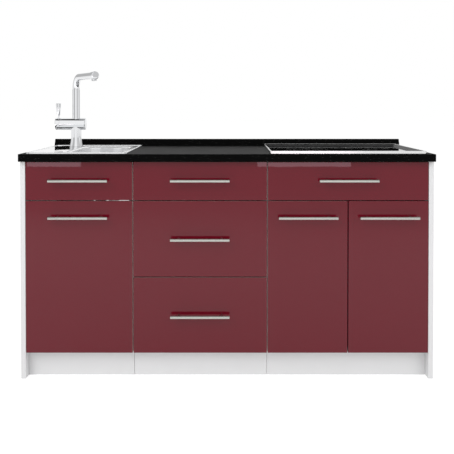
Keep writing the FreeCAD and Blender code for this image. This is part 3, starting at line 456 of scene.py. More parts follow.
# %% Finishes by slot
raw_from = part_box("cabinet_sides")[1].y - 1 * MM
glass_low, glass_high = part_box("hob_glass")
deck_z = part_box("sink_deck")[1].z
doors_meet = (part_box("hob_left_door_panel")[1].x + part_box("hob_right_door_panel")[0].x) / 2
finishes = {
    "red_gloss": red_lacquer(fronts_y, doors_meet),
    "black_worktop": black_laminate(),
    "sink_steel": sink_steel(deck_z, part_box("sink_bowl")[0].x),
    "hob_glass_black": hob_glass((glass_low + glass_high) / 2, glass_low.y),
}
RECIPES = {
    "white_board": (melamine, (224, 224, 222), raw_from),
    "white_edge": (melamine, (215, 215, 216), raw_from),
    "white_back": (melamine, (220, 220, 218)),
    "drawer_board": (melamine, (216, 216, 213)),
    "bar_steel": (brushed, (196, 197, 191), "x", 0.20, 0.34),
    "hob_frame_steel": (polished, (240, 240, 240), 0.10, 0.16),
    "tap_chrome": (polished, (244, 245, 247), 0.02, 0.05),
    "zinc_steel": (plated, (196, 199, 203)),
    "hinge_steel": (plated, (206, 205, 200)),
    "brass_fitting": (plated, (214, 178, 98)),
    "heater_metal": (plated, (188, 188, 188)),
    "black_leg_plastic": (moulded, (28, 28, 29)),
    "white_pipe_plastic": (moulded, (222, 222, 218)),
}
for slot, (recipe, colour, *settings) in RECIPES.items():
    finishes[slot] = recipe(slot, tone(*colour), *settings)


def paint(mesh, slot):
    mesh.materials.clear()
    mesh.materials.append(finishes[slot])


for node, piece in frame["nodes"].items():
    paint(piece.data, slot_of[node])
print(len(finishes), "finishes")


# %% [markdown]
# ## From a form to a finished piece
# Every piece ends the same way: its mesh gets smooth faces with sharp edges where the surface
# turns, its finish, and the body that it moves with. Modifiers are first turned into plain mesh.

# %% Finishing a piece
SHARP_FROM = math.radians(38)


def plain(source, name):
    """A new object with the source's final mesh; the source is removed."""
    graph = bpy.context.evaluated_depsgraph_get()
    mesh = bpy.data.meshes.new_from_object(source.evaluated_get(graph), depsgraph=graph)
    bpy.data.objects.remove(source, do_unlink=True)
    return placed(name, mesh)


def placed(name, mesh):
    """An object at the origin that shows a mesh."""
    thing = bpy.data.objects.new(name, mesh)
    bpy.context.scene.collection.objects.link(thing)
    return thing


def finished(thing, slot, body, replaced=(), smooth=True):
    """Gives a piece its shading, its finish, its body and the nodes that it stands for."""
    paint(thing.data, slot)
    if smooth:
        thing.data.shade_smooth()
        thing.data.set_sharp_from_angle(angle=SHARP_FROM)
    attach(thing, body)
    if replaced:
        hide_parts(*replaced)
    return thing


# %% [markdown]
# ## Rounded edges
# No board, pane or pressed frame has a perfectly sharp edge, and the thin line of light along
# a rounded one makes it look real. A solid's own mesh is loose triangles, so a copy is merged,
# its flat triangles are joined into faces, and a Bevel modifier rounds what is still sharp, but
# for the short edges of bores. Faces square to an axis are shaded flat, so that no shading runs
# out of a bore across the board.

# %% Pieces with rounded edges
FLAT_WITHIN = math.radians(0.5)
BORE_STEP = 8 * MM
SQUARE = 0.9999


def merged(node):
    """A form of a node's triangles, joined where their corners meet."""
    form = bmesh.new()
    form.from_mesh(frame["nodes"][node].data)
    bmesh.ops.remove_doubles(form, verts=form.verts, dist=1e-6)
    return form


def mesh_of(form, name):
    mesh = bpy.data.meshes.new(name)
    form.to_mesh(mesh)
    form.free()
    return mesh


def softened(node, width, shortest=0.0):
    """A piece with a node's shape, whose sharp edges are rounded from a shortest length on."""
    form = merged(node)
    bmesh.ops.dissolve_degenerate(form, edges=form.edges, dist=1e-5)
    bmesh.ops.dissolve_limit(form, angle_limit=FLAT_WITHIN, verts=form.verts, edges=form.edges)
    weight = form.edges.layers.float.new("bevel_weight_edge")
    for edge in form.edges:
        sharp = edge.is_manifold and edge.calc_face_angle() > SHARP_FROM
        edge[weight] = 1.0 if sharp and edge.calc_length() > shortest else 0.0
    source = placed(node + "_form", mesh_of(form, node + "_form"))
    bevel = source.modifiers.new("edges", "BEVEL")
    bevel.width = width
    bevel.segments = 3
    bevel.limit_method = "WEIGHT"
    bevel.use_clamp_overlap = False
    rounded = plain(source, node + "_rounded")
    for face in rounded.data.polygons:
        face.use_smooth = max(abs(part) for part in face.normal) < SQUARE
    return finished(rounded, slot_of[node], body_of[node], [node], smooth=False)


FRONTS = ["fixed_front", "sink_door_panel", "hob_left_door_panel", "hob_right_door_panel"]
FRONTS += [name + "_drawer_front" for name in ("top", "middle", "bottom", "hob")]
for node in FRONTS:
    softened(node, 1.2 * MM, BORE_STEP)
softened("worktop", 1.8 * MM, BORE_STEP)
for node, width in (("wall_strip", 0.8), ("end_cheeks", 0.5), ("plinth_boards", 0.5),
                    ("hob_frame", 0.7), ("hob_glass", 0.4), ("tap_lever_hub", 0.3)):
    softened(node, width * MM)
print(len(FRONTS), "fronts with rounded edges")


# %% [markdown]
# ## Turned pieces
# Bars, posts and columns are made on a lathe, so a profile of distance and radius describes
# them fully. The rings of a turned form are joined into faces, and the ends are closed.

# %% Rings, lathe and sweep
def joined_rings(form, rings, closed=False):
    """Joins rings of points into faces; the two ends are capped unless the run is closed."""
    rows = [[form.verts.new(point) for point in ring] for ring in rings]
    pairs = list(zip(rows, rows[1:])) + ([(rows[-1], rows[0])] if closed else [])
    for low, high in pairs:
        for number in range(len(low)):
            after = (number + 1) % len(low)
            form.faces.new((low[number], low[after], high[after], high[number]))
    if not closed:
        form.faces.new(rows[0][::-1])
        form.faces.new(rows[-1])


def circle(centre, side, up, radius, count):
    angles = [2 * math.pi * number / count for number in range(count)]
    return [centre + side * (radius * math.cos(a)) + up * (radius * math.sin(a)) for a in angles]


def lathed(form, start, along, profile, count=56):
    """Adds a turned shape; the profile is (distance along the axis, radius)."""
    along = along.normalized()
    side = along.orthogonal().normalized()
    up = along.cross(side)
    joined_rings(form, [circle(start + along * distance, side, up, radius, count)
                        for distance, radius in profile])


def rounded_end(length, radius, roundness, steps=4):
    """The last part of a profile: the rounded edge of its flat end."""
    turns = [math.pi / 2 * step / steps for step in range(steps + 1)]
    return [(length - roundness + roundness * math.sin(turn),
             radius - roundness * (1 - math.cos(turn))) for turn in turns]


def made(form, name, slot, body, replaced=()):
    """Turns a form, with its normals outwards, into a finished piece."""
    bmesh.ops.recalc_face_normals(form, faces=form.faces)
    return finished(placed(name, mesh_of(form, name)), slot, body, replaced)


# %% [markdown]
# ## Bar handles
# Eight brushed bars, each on two posts. The bar's ends are slightly rounded, and each post has
# a slightly wider foot on the lacquer. Behind the front sits the screw that pulls it tight.

# %% Bar handles
BAR_RADIUS = 6 * MM
BAR_ROUND = 0.9 * MM
POST_RADIUS = 4.3 * MM
POST_FOOT = 4.5 * MM
POST_SPACING = 160 * MM
SCREW_HEAD = 4 * MM
SCREW = [(0, 2.6 * MM), (0.5 * MM, SCREW_HEAD - 0.4 * MM), (1 * MM, SCREW_HEAD),
         (2.2 * MM, SCREW_HEAD)]
X_AXIS, Y_AXIS, Z_AXIS = Vector((1, 0, 0)), Vector((0, 1, 0)), Vector((0, 0, 1))


def bar_handle(node):
    low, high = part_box(node)
    centre = (low + high) / 2
    bar_y = low.y + BAR_RADIUS
    length, reach = high.x - low.x, fronts_y - bar_y
    form = bmesh.new()
    end = rounded_end(length, BAR_RADIUS, BAR_ROUND)
    start = [(length - distance, radius) for distance, radius in reversed(end)]
    lathed(form, Vector((low.x, bar_y, centre.z)), X_AXIS, start + end)
    post = [(0, POST_FOOT), (1.2 * MM, POST_FOOT), (1.6 * MM, POST_RADIUS),
            (reach - 4 * MM, POST_RADIUS)]
    for side in (-1, 1):
        x = centre.x + side * POST_SPACING / 2
        lathed(form, Vector((x, fronts_y, centre.z)), -Y_AXIS, post, 32)
        lathed(form, Vector((x, high.y, centre.z)), -Y_AXIS, SCREW, 20)
    return made(form, node + "_bar", slot_of[node], body_of[node], [node])


handles = [bar_handle(node) for node in frame["nodes"] if node.endswith("_handle")]
bar_low, bar_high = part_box("fixed_front_handle")
print(len(handles), "handles of", round(bar_high.x - bar_low.x, 3), "m")

# %% [markdown]
# ## The sink
# A sink is pressed from one sheet: a rolled rim, a deck that lies a little lower than the rim,
# and a bowl with generous corners. Each level of it is a rounded rectangle, and a circle at the
# waste, so the whole sheet is one run of rings, down the top side and back along the underside.

# %% Sink levels
SHEET = 1 * MM
SINK_CORNER = 14 * MM
BOWL_CORNER = 45 * MM
FLOOR_ROUND = 20 * MM
WASTE_HOLE = 45 * MM
WASTE_LEVEL = 57 * MM
DECK_DROP = 2 * MM
LEAST_CORNER = 2 * MM
LIP = 0.9
CORNER_STEPS = 10
SIDE_STEPS = 6


def rounded_rectangle(centre, half_x, half_y, corner, z):
    """The points of a rounded rectangle, corner by corner, with a few points on each side."""
    corner = min(corner, half_x, half_y)
    arcs = []
    for quarter, (sx, sy) in enumerate(((1, 1), (-1, 1), (-1, -1), (1, -1))):
        middle = Vector((centre.x + sx * (half_x - corner), centre.y + sy * (half_y - corner), z))
        angles = [math.pi / 2 * (quarter + step / CORNER_STEPS) for step in range(CORNER_STEPS + 1)]
        arcs.append([middle + Vector((math.cos(a), math.sin(a), 0)) * corner for a in angles])
    points = []
    for arc, after in zip(arcs, arcs[1:] + arcs[:1]):
        points += arc
        points += [arc[-1].lerp(after[0], step / SIDE_STEPS) for step in range(1, SIDE_STEPS)]
    return points


sink_low, sink_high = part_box("sink_deck")
bowl_low, bowl_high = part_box("sink_bowl")
sink_middle, bowl_middle = (sink_low + sink_high) / 2, (bowl_low + bowl_high) / 2
bowl_half = (bowl_high - bowl_low) / 2 - Vector((SHEET, SHEET, 0))
floor_z = bowl_low.z + SHEET


def deck_ring(inset, drop):
    """A ring so far in from the sink's edge and below its top, both in millimetres."""
    half_x, half_y = (edge / 2 - inset * MM for edge in (sink_high - sink_low).xy)
    corner = max(SINK_CORNER - inset * MM, LEAST_CORNER)
    return rounded_rectangle(sink_middle, half_x, half_y, corner, deck_z - drop * MM)


def bowl_ring(outset, z):
    half_x, half_y = bowl_half.x + outset, bowl_half.y + outset
    return rounded_rectangle(bowl_middle, half_x, half_y, BOWL_CORNER + outset, z)


def floor_ring(turn, radius):
    """A ring of the round between the bowl's walls and its floor."""
    z = floor_z + FLOOR_ROUND - radius * math.sin(turn)
    return bowl_ring(radius * math.cos(turn) - FLOOR_ROUND, z)


def waste_ring(radius, z):
    return rounded_rectangle(bowl_middle, radius, radius, radius, z)


# %% Sink
rim = [(0, 6), (0, 2.4), (0.3, 1.3), (1.0, 0.45), (2.0, 0.08), (3.2, 0), (5.4, 0), (7.2, 0.4),
       (9.2, 1.5), (10.6, 1.95), (12.0, 2.0)]
mouth = [(7.0, 2.0), (5.0, 2.35), (3.0, 3.4), (1.4, 5.2), (0.4, 7.4), (0.0, 9.5)]
below = [(12.0, 3.0), (9.0, 2.5), (5.0, 1.0), (2.0, 1.0), (1.0, 2.4), (1.0, 6)]
turns = [math.pi / 2 * step / 6 for step in range(7)]
top_side = [deck_ring(inset, drop) for inset, drop in rim]
top_side += [bowl_ring(outset * MM, deck_z - drop * MM) for outset, drop in mouth]
top_side += [floor_ring(turn, FLOOR_ROUND) for turn in turns]
top_side += [waste_ring(radius, floor_z) for radius in (WASTE_LEVEL, WASTE_HOLE)]
underside = [waste_ring(radius, floor_z - SHEET) for radius in (WASTE_HOLE, WASTE_LEVEL)]
underside += [floor_ring(turn, FLOOR_ROUND + SHEET) for turn in reversed(turns)]
underside += [bowl_ring((outset + LIP) * MM, deck_z - (drop + LIP) * MM)
              for outset, drop in reversed(mouth)]
underside += [deck_ring(inset, drop) for inset, drop in below]
form = bmesh.new()
joined_rings(form, top_side + underside, closed=True)
sink = made(form, "sink", "sink_steel", "root", ["sink_deck", "sink_bowl"])
print("sink", len(sink.data.polygons), "faces")

# %% [markdown]
# ## The sealant round the hob glass
# The glass lies lower than its steel rim, and a black bead fills the corner between them, run
# round on rounded rectangles. It covers the rim's sloping flank, and its black is painted
# reflection, the dark that the flank mirrors.

# %% Black bead over the flank
frame_low, frame_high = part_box("hob_frame")
hob_middle, hob_half = (frame_low + frame_high) / 2, (frame_high - frame_low) / 2
glass_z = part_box("hob_glass")[1].z
RIM_TOP = 5 * MM
GLASS_INSET = 12.5 * MM
BEAD_SINK = 0.05 * MM
rise = frame_high.z - glass_z


def hob_ring(inset, height):
    half_x, half_y = hob_half.x - inset, hob_half.y - inset
    corner = max(4 * MM, 16 * MM - inset) / 3
    return rounded_rectangle(hob_middle, half_x, half_y, corner, glass_z + height)


bead = [(GLASS_INSET + 3.0 * MM, -BEAD_SINK), (GLASS_INSET + 3.0 * MM, 0.15 * MM),
        (GLASS_INSET + 1.2 * MM, 0.7 * MM), (GLASS_INSET - 0.8 * MM, 2.2 * MM),
        (RIM_TOP + 3.6 * MM, rise * 0.64), (RIM_TOP + 1.0 * MM, rise - 0.6 * MM),
        (RIM_TOP + 0.6 * MM, rise - 0.9 * MM), (GLASS_INSET - 0.2 * MM, -BEAD_SINK)]
form = bmesh.new()
joined_rings(form, [hob_ring(inset, height) for inset, height in bead], closed=True)
# The bead's black is painted reflection over the rim's sloping flank.
made(form, "hob_flank_painted_dark", "black_leg_plastic", "root")
print("sealant bead", round(rise / MM, 1), "mm high")

# %% [markdown]
# ## The tap
# The mixer is chromed brass. A flared foot carries a column, the column carries a horizontal
# mixing cylinder, and a riser stands on that. They are all turned forms, and because chrome
# shows every facet, they have many faces. Below the deck the shank has a thread, whose profile
# goes in and out with its pitch.

# %% Tap body
FOOT_RADIUS, COLUMN_RADIUS = 28 * MM, 22 * MM
FOOT_HEIGHT = 37 * MM
MIXER_RADIUS = 25.3 * MM
MIXER_RIGHT = 41 * MM
RISER_RADIUS = 15.9 * MM
SHANK_RADIUS, SHANK_LENGTH, THREAD_PITCH, THREAD_DEPTH = 16 * MM, 56 * MM, 2 * MM, 0.6 * MM
SPINDLE_LENGTH, SPINDLE_RADIUS = 9.6 * MM, 8 * MM
FLARE_STEPS, FLARE_POWER = 14, 1.7
riser_top = pivot["spout_swivel"]
mixer_axis = Vector((riser_top.x, riser_top.y, pivot["lever_temperature"].z))
tap_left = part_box("tap_body")[0].x
mixer_left = tap_left + SPINDLE_LENGTH


def on_tap_axis(z):
    return Vector((riser_top.x, riser_top.y, z))


form = bmesh.new()
column = [(0, FOOT_RADIUS - 0.8 * MM), (0.5 * MM, FOOT_RADIUS), (DECK_DROP + 1 * MM, FOOT_RADIUS)]
for share in [step / FLARE_STEPS for step in range(1, FLARE_STEPS + 1)]:
    column.append((DECK_DROP + FOOT_HEIGHT * share,
                   COLUMN_RADIUS + (FOOT_RADIUS - COLUMN_RADIUS) * (1 - share) ** FLARE_POWER))
column.append((mixer_axis.z - deck_z + DECK_DROP, COLUMN_RADIUS))
lathed(form, on_tap_axis(deck_z - DECK_DROP), Z_AXIS, column, 72)
mixer = [(0, MIXER_RADIUS - 0.5 * MM), (0.5 * MM, MIXER_RADIUS)]
mixer += rounded_end(mixer_axis.x + MIXER_RIGHT - mixer_left, MIXER_RADIUS, 4 * MM, 8)
lathed(form, Vector((mixer_left, mixer_axis.y, mixer_axis.z)), X_AXIS, mixer, 72)
riser = [(0, RISER_RADIUS)] + rounded_end(riser_top.z - mixer_axis.z, RISER_RADIUS, 0.8 * MM)
lathed(form, mixer_axis, Z_AXIS, riser, 64)
thread = []
for at in [THREAD_PITCH * number for number in range(int(SHANK_LENGTH / THREAD_PITCH) - 1)]:
    thread += [(at, SHANK_RADIUS), (at + THREAD_PITCH / 2, SHANK_RADIUS - THREAD_DEPTH)]
lathed(form, on_tap_axis(deck_z - SHANK_LENGTH), Z_AXIS, thread, 40)
spindle = [(0, SPINDLE_RADIUS - 0.4 * MM), (0.4 * MM, SPINDLE_RADIUS),
           (SPINDLE_LENGTH + 2 * MM, SPINDLE_RADIUS)]
lathed(form, Vector((tap_left, mixer_axis.y, mixer_axis.z)), X_AXIS, spindle, 32)
tap = made(form, "tap_mixer", "tap_chrome", "root", ["tap_body"])
print("tap body", len(tap.data.polygons), "faces")

# %% [markdown]
# ## Spout and lever
# The spout is one tube that comes up out of the riser and bends over in a single arc. Its
# centre line lies in one upright plane, and each ring is square to it. Its end is a slightly
# wider collar with a rounded rim, and the aerator hangs below it.

# %% Spout
SPOUT_RADIUS = 14.5 * MM
SPOUT_OVERLAP = 40 * MM
SPOUT_BEND = 48 * MM
SPOUT_REACH = 240 * MM
SPOUT_TURN = math.radians(30)
SPOUT_SIDES = 48
BEND_STEPS = 20
COLLAR_RADIUS, COLLAR_LENGTH, COLLAR_ROUND = 16.5 * MM, 30 * MM, 5 * MM
AERATOR_RADIUS, AERATOR_FROM_END, AERATOR_DROP = 11 * MM, 17.5 * MM, 5 * MM
ahead = Vector((math.sin(SPOUT_TURN), -math.cos(SPOUT_TURN), 0))
across = ahead.cross(Z_AXIS)
run_start = on_tap_axis(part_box("tap_spout")[1].z - COLLAR_RADIUS)


def spout_ring(centre, lean, radius=SPOUT_RADIUS):
    """One ring of the tube; the lean is 0 where it rises and a quarter turn where it runs level."""
    square = Z_AXIS * math.sin(lean) - ahead * math.cos(lean)
    return circle(centre, across, square, radius, SPOUT_SIDES)


rings = [spout_ring(riser_top - Z_AXIS * depth, 0) for depth in (SPOUT_OVERLAP, SPOUT_OVERLAP / 2)]
bend_centre = run_start + (ahead - Z_AXIS) * SPOUT_BEND
for lean in [math.pi / 2 * step / BEND_STEPS for step in range(BEND_STEPS + 1)]:
    out = Z_AXIS * math.sin(lean) - ahead * math.cos(lean)
    rings.append(spout_ring(bend_centre + out * SPOUT_BEND, lean))
collar_start = SPOUT_REACH - COLLAR_LENGTH
run = [(collar_start - 1 * MM, SPOUT_RADIUS), (collar_start, SPOUT_RADIUS),
       (collar_start, COLLAR_RADIUS - 0.5 * MM), (collar_start + 0.5 * MM, COLLAR_RADIUS)]
run += rounded_end(SPOUT_REACH, COLLAR_RADIUS, COLLAR_ROUND, 8)
rings += [spout_ring(run_start + ahead * distance, math.pi / 2, radius) for distance, radius in run]
form = bmesh.new()
joined_rings(form, rings)
outlet = run_start + ahead * (SPOUT_REACH - AERATOR_FROM_END)
aerator = [(0.6 * MM, 8.5 * MM), (0, 9 * MM), (0, 10.4 * MM), (0.6 * MM, AERATOR_RADIUS),
           (12 * MM, AERATOR_RADIUS)]
lathed(form, outlet - Z_AXIS * (COLLAR_RADIUS + AERATOR_DROP), Z_AXIS, aerator, 48)
made(form, "tap_swivel_spout", "tap_chrome", "spout", ["tap_spout"])

# %% Lever
BALL_RADIUS, NECK_RADIUS, SHOULDER_RADIUS, LEVER_RADIUS = 6 * MM, 3 * MM, 8 * MM, 10.5 * MM
SHOULDER_HEIGHT, LEVER_TOP = 24 * MM, 70 * MM
ball = [(-BALL_RADIUS * math.cos(turn), BALL_RADIUS * math.sin(turn))
        for turn in [0.06 + 2.5 * step / 12 for step in range(13)]]
stick = [(7 * MM, NECK_RADIUS), (12 * MM, NECK_RADIUS), (14 * MM, NECK_RADIUS + 0.7 * MM),
         (18 * MM, 5.4 * MM), (SHOULDER_HEIGHT - 2 * MM, SHOULDER_RADIUS - 0.8 * MM),
         (SHOULDER_HEIGHT + 1 * MM, SHOULDER_RADIUS)]
stick += rounded_end(LEVER_TOP, LEVER_RADIUS, 1.5 * MM)
form = bmesh.new()
lathed(form, pivot["lever_flow"], Z_AXIS, ball + stick, 48)
made(form, "tap_lever_stick", "tap_chrome", "lever", ["tap_lever"])
print("spout reaches", SPOUT_REACH, "m at height", round(run_start.z, 3))


# %% [markdown]
# ## Trees that repeat a shape
# Screw heads, hole sleeves, ribs and legs repeat, so they come from Geometry Nodes. A tree
# gets points that carry the direction they face, sets one shape on each, and ends with real
# geometry and a material. Its sizes are named inputs, so one tree makes screws and sleeves.

# %% A tree with named sizes
class Pattern(Tree):
    """A geometry tree with named inputs, whose last steps are always the same."""

    def __init__(self, name, **sizes):
        self.group = bpy.data.node_groups.new(name, "GeometryNodeTree")
        super().__init__(self.group)
        self.identifiers = {}
        self.socket("Geometry", "Geometry", "OUTPUT")
        self.socket("Geometry", "Geometry")
        for size, value in dict(sizes, Material=None).items():
            kind = {int: "Int", float: "Float"}.get(type(value), "Material")
            socket = self.socket(size.replace("_", " "), kind)
            if value is not None:
                socket.default_value = value
            self.identifiers[size] = socket.identifier
        self.given_node = self.nodes.new("NodeGroupInput")

    def socket(self, name, kind, way="INPUT"):
        interface = self.group.interface
        return interface.new_socket(name, in_out=way, socket_type="NodeSocket" + kind)

    def given(self, name):
        return Socket(self, self.given_node.outputs[name])

    def vector(self, x=0.0, y=0.0, z=0.0):
        return self.add("ShaderNodeCombineXYZ", {}, {0: x, 1: y, 2: z})

    def moved(self, geometry, **change):
        return self.add("GeometryNodeTransform", {}, dict({"Geometry": geometry}, **change))

    def facing(self):
        """The turn that points a shape's Z along the direction that a point carries."""
        direction = self.add("GeometryNodeInputNamedAttribute", {"data_type": "FLOAT_VECTOR"},
                             {"Name": "facing"})
        return self.add("FunctionNodeAlignRotationToVector", {"axis": "Z"}, {"Vector": direction})

    def end(self, shape):
        """One shape on each point, made real and given its material."""
        inputs = {"Points": self.given("Geometry"), "Instance": shape, "Rotation": self.facing()}
        copies = self.add("GeometryNodeInstanceOnPoints", {}, inputs)
        real = self.add("GeometryNodeRealizeInstances", {}, {"Geometry": copies})
        inputs = {"Geometry": real, "Material": self.given("Material")}
        painted = self.add("GeometryNodeSetMaterial", {}, inputs)
        self.links.new(painted.socket, self.nodes.new("NodeGroupOutput").inputs[0])
        return self


def grown(name, pattern, points, slot, body, smooth=True, **sizes):
    """Runs a pattern on (place, facing) points, and keeps the result as a plain piece."""
    mesh = bpy.data.meshes.new(name)
    mesh.from_pydata([place for place, facing in points], [], [])
    facing = mesh.attributes.new("facing", "FLOAT_VECTOR", "POINT")
    facing.data.foreach_set("vector", [part for place, direction in points for part in direction])
    source = placed(name + "_points", mesh)
    modifier = source.modifiers.new("pattern", "NODES")
    modifier.node_group = pattern.group
    for size, value in dict(sizes, Material=finishes[slot]).items():
        modifier[pattern.identifiers[size]] = value
    return finished(plain(source, name), slot, body, smooth=smooth)


# %% Headed pattern
def headed_pattern():
    """A low round head with a socket in it: a screw, a sleeve or a cap."""
    tree = Pattern("headed", Radius=0.004, Height=0.001, Socket_share=0.55, Socket_depth=0.001,
                   Sides=12)
    height = tree.given("Height")
    drum = {"Vertices": tree.given("Sides"), "Radius": tree.given("Radius"), "Depth": height}
    shape, top = tree.add("GeometryNodeMeshCylinder", {}, drum, ("Mesh", "Top"))
    shape = tree.moved(shape, Translation=tree.vector(z=height * 0.5))
    for rise, share in ((height * 0.35, 0.8), (0.0, tree.given("Socket share")),
                        (tree.given("Socket depth") * -1, 1.0)):
        push = {"Mesh": shape, "Selection": top, "Offset Scale": rise, "Individual": False}
        shape, top = tree.add("GeometryNodeExtrudeMesh", {}, push, ("Mesh", "Top"))
        narrowing = {"Geometry": shape, "Selection": top, "Scale": share}
        shape = tree.add("GeometryNodeScaleElements", {}, narrowing)
    return tree.end(shape)


headed = headed_pattern()
print("headed pattern with", len(headed.identifiers), "inputs")

# %% Loose solids of a node
def islands(node):
    """The lowest and highest corners of each loose solid of a node."""
    form = merged(node)
    left, found = set(form.verts), []
    while left:
        group, queue = [], [left.pop()]
        while queue:
            vert = queue.pop()
            group.append(vert.co.copy())
            near = {edge.other_vert(vert) for edge in vert.link_edges} & left
            left -= near
            queue += near
        found.append((Vector(map(min, zip(*group))), Vector(map(max, zip(*group)))))
    form.free()
    return sorted(found, key=lambda box: tuple(box[0]))


# %% [markdown]
# ## System holes
# The side boards have two rows of holes at a pitch of 32 mm for shelf pins. Each hole has a
# plastic sleeve, which shows as a small ring when a door is open.

# %% Rows of hole sleeves
HOLE_PITCH = 32 * MM
HOLE_ROWS = (60 * MM, 430 * MM)
HOLES, HOLES_FROM = 11, 150 * MM
BOARD = 16 * MM
carcass_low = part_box("cabinet_sides")[0]
CABINETS = {"sink": (0.0, 0.4), "hob": (0.9, 1.5)}  # each cabinet from the left
SLEEVE = dict(Radius=3.4 * MM, Height=0.4 * MM, Socket_share=0.9, Socket_depth=0.5 * MM)
holes_z = [carcass_low.z + HOLES_FROM + number * HOLE_PITCH for number in range(HOLES)]
for name, (left, right) in CABINETS.items():
    walls = ((carcass_low.x + left + BOARD, X_AXIS), (carcass_low.x + right - BOARD, -X_AXIS))
    points = [(Vector((x, carcass_low.y + row, z)), facing)
              for x, facing in walls for row in HOLE_ROWS for z in holes_z]
    grown(name + "_hole_sleeves", headed, points, "white_pipe_plastic", "root", **SLEEVE)

# %% Screws round the back panels
SCREW_PITCH, SCREW_INSET = 140 * MM, 22 * MM
BACK_SCREW = dict(Radius=3.2 * MM, Height=0.5 * MM, Socket_share=0.5, Socket_depth=0.6 * MM)
panel_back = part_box("back_panels")[1].y


def screw_row(low, high):
    start, length = low + SCREW_INSET, high - low - 2 * SCREW_INSET
    count = max(1, round(length / SCREW_PITCH))
    return [start + length * number / count for number in range(count + 1)]


points = []
for low, high in islands("back_panels"):
    xs, zs = screw_row(low.x, high.x), screw_row(low.z, high.z)
    edge = [(x, z) for x in xs for z in (zs[0], zs[-1])]
    edge += [(x, z) for z in zs[1:-1] for x in (xs[0], xs[-1])]
    points += [(Vector((x, panel_back, z)), Y_AXIS) for x, z in edge]
grown("back_screws", headed, points, "zinc_steel", "root", **BACK_SCREW)

# %% Bumpers behind doors and drawer fronts
BUMPER_INSET = 12 * MM
BUMPER = dict(Radius=4 * MM, Height=1.0 * MM, Socket_share=0.7, Socket_depth=0.05 * MM, Sides=16)
for node in FRONTS[1:]:
    low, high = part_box(node)
    corners = [(Vector((x, high.y, z)), Y_AXIS)
               for x in (low.x + BUMPER_INSET, high.x - BUMPER_INSET)
               for z in (low.z + BUMPER_INSET, high.z - BUMPER_INSET)]
    grown(node + "_bumpers", headed, corners, "white_pipe_plastic", body_of[node], **BUMPER)
print(len(points), "back screws")

# %% [markdown]
# ## Legs
# Twelve adjustable legs, each with a wide plate under the cabinet, a ribbed tube and a foot. The
# tree builds one leg from turned parts and ribs set on a ring.

# %% Legs
RIB_WIDTH, RIB_DEPTH = 2.2 * MM, 3.4 * MM
CONE_SIDES = 28


def ribs_round(tree, radius, count, length):
    """Upright ribs, set on a ring about the Z axis."""
    ring = tree.add("GeometryNodeMeshCircle", {}, {"Vertices": count, "Radius": radius})
    outward = tree.add("FunctionNodeAlignRotationToVector", {"axis": "X"},
                       {"Vector": tree.add("GeometryNodeInputPosition")})
    size = tree.vector(RIB_DEPTH, RIB_WIDTH, length)
    rib = tree.add("GeometryNodeMeshCube", {}, {"Size": size})
    return tree.add("GeometryNodeInstanceOnPoints", {},
                    {"Points": ring, "Instance": rib, "Rotation": outward})


def cone(tree, low_radius, high_radius, height, z):
    sizes = {"Vertices": CONE_SIDES, "Radius Top": high_radius, "Radius Bottom": low_radius,
             "Depth": height}
    return tree.moved(tree.add("GeometryNodeMeshCone", {}, sizes), Translation=tree.vector(z=z))


def leg_pattern():
    tree = Pattern("leg", Height=0.096, Foot_radius=0.024, Tube_radius=0.015, Plate_radius=0.028,
                   Ribs=10)
    names = ("Height", "Foot radius", "Tube radius", "Plate radius", "Ribs")
    height, foot, tube, plate, ribs = [tree.given(name) for name in names]
    parts = [cone(tree, foot, foot, 0.004, 0.0), cone(tree, foot, tube * 0.85, 0.008, 0.004),
             cone(tree, tube * 0.8, tube * 0.8, height * 0.45, 0.010),
             cone(tree, tube, tube * 0.94, height - 0.036, 0.030),
             cone(tree, plate * 0.72, plate, 0.004, height - 0.010),
             cone(tree, plate, plate, 0.006, height - 0.006),
             tree.moved(ribs_round(tree, tube * 0.9, ribs, height - 0.044),
                        Translation=tree.vector(z=(height + 0.024) * 0.5))]
    join = tree.nodes.new("GeometryNodeJoinGeometry")
    for part in parts:
        tree.links.new(part.socket, join.inputs[0])
    return tree.end(Socket(tree, join.outputs[0]))


leg_places = {}
for low, high in islands("legs"):
    middle = (low + high) / 2
    if abs((high.x - low.x) - (high.y - low.y)) < 2 * MM:
        leg_places[round(middle.x, 2), round(middle.y, 2)] = Vector((middle.x, middle.y, 0.0))
points = [(place, Z_AXIS) for place in leg_places.values()]
grown("legs_ribbed", leg_pattern(), points, "black_leg_plastic", "root", Height=carcass_low.z)
print(len(points), "legs")

# %% [markdown]
# ## Studio
# A pale floor and a white surround, lit softly. The world lights the object at a little over
# half strength, and two wide lamps in front, the stronger one on the left, add the rest, so that
# a colour renders about as it is written. The camera itself sees plain white. A mirror sees a
# studio that is bright in the middle, with darker bands to the sides and a dark ceiling, because
# chrome needs something to reflect or it disappears.

# %% Floor
FLOOR_GLOW, FLOOR_GLOW_SEEN = 0.30, 0.43
finish = Finish("studio_floor", Roughness=1.0, Specular_IOR_Level=0.0, Emission_Strength=1.0)
fade = finish.noise(0.3, 1.0)
finish.feed("Base Color", finish.mix(fade, (0.93, 0.93, 0.93), (0.95, 0.95, 0.95)))
seen = finish.add("ShaderNodeLightPath", output="Is Camera Ray")
finish.feed("Emission Color", finish.mix(seen, (FLOOR_GLOW,) * 3, (FLOOR_GLOW_SEEN,) * 3))
mesh = bpy.data.meshes.new("studio_floor")
REACH = 40.0
corners = [(-REACH, -REACH, 0), (REACH, -REACH, 0), (REACH, REACH, 0), (-REACH, REACH, 0)]
mesh.from_pydata(corners, [], [(0, 1, 2, 3)])
mesh.materials.append(finish.material)
floor = placed("studio_floor", mesh)

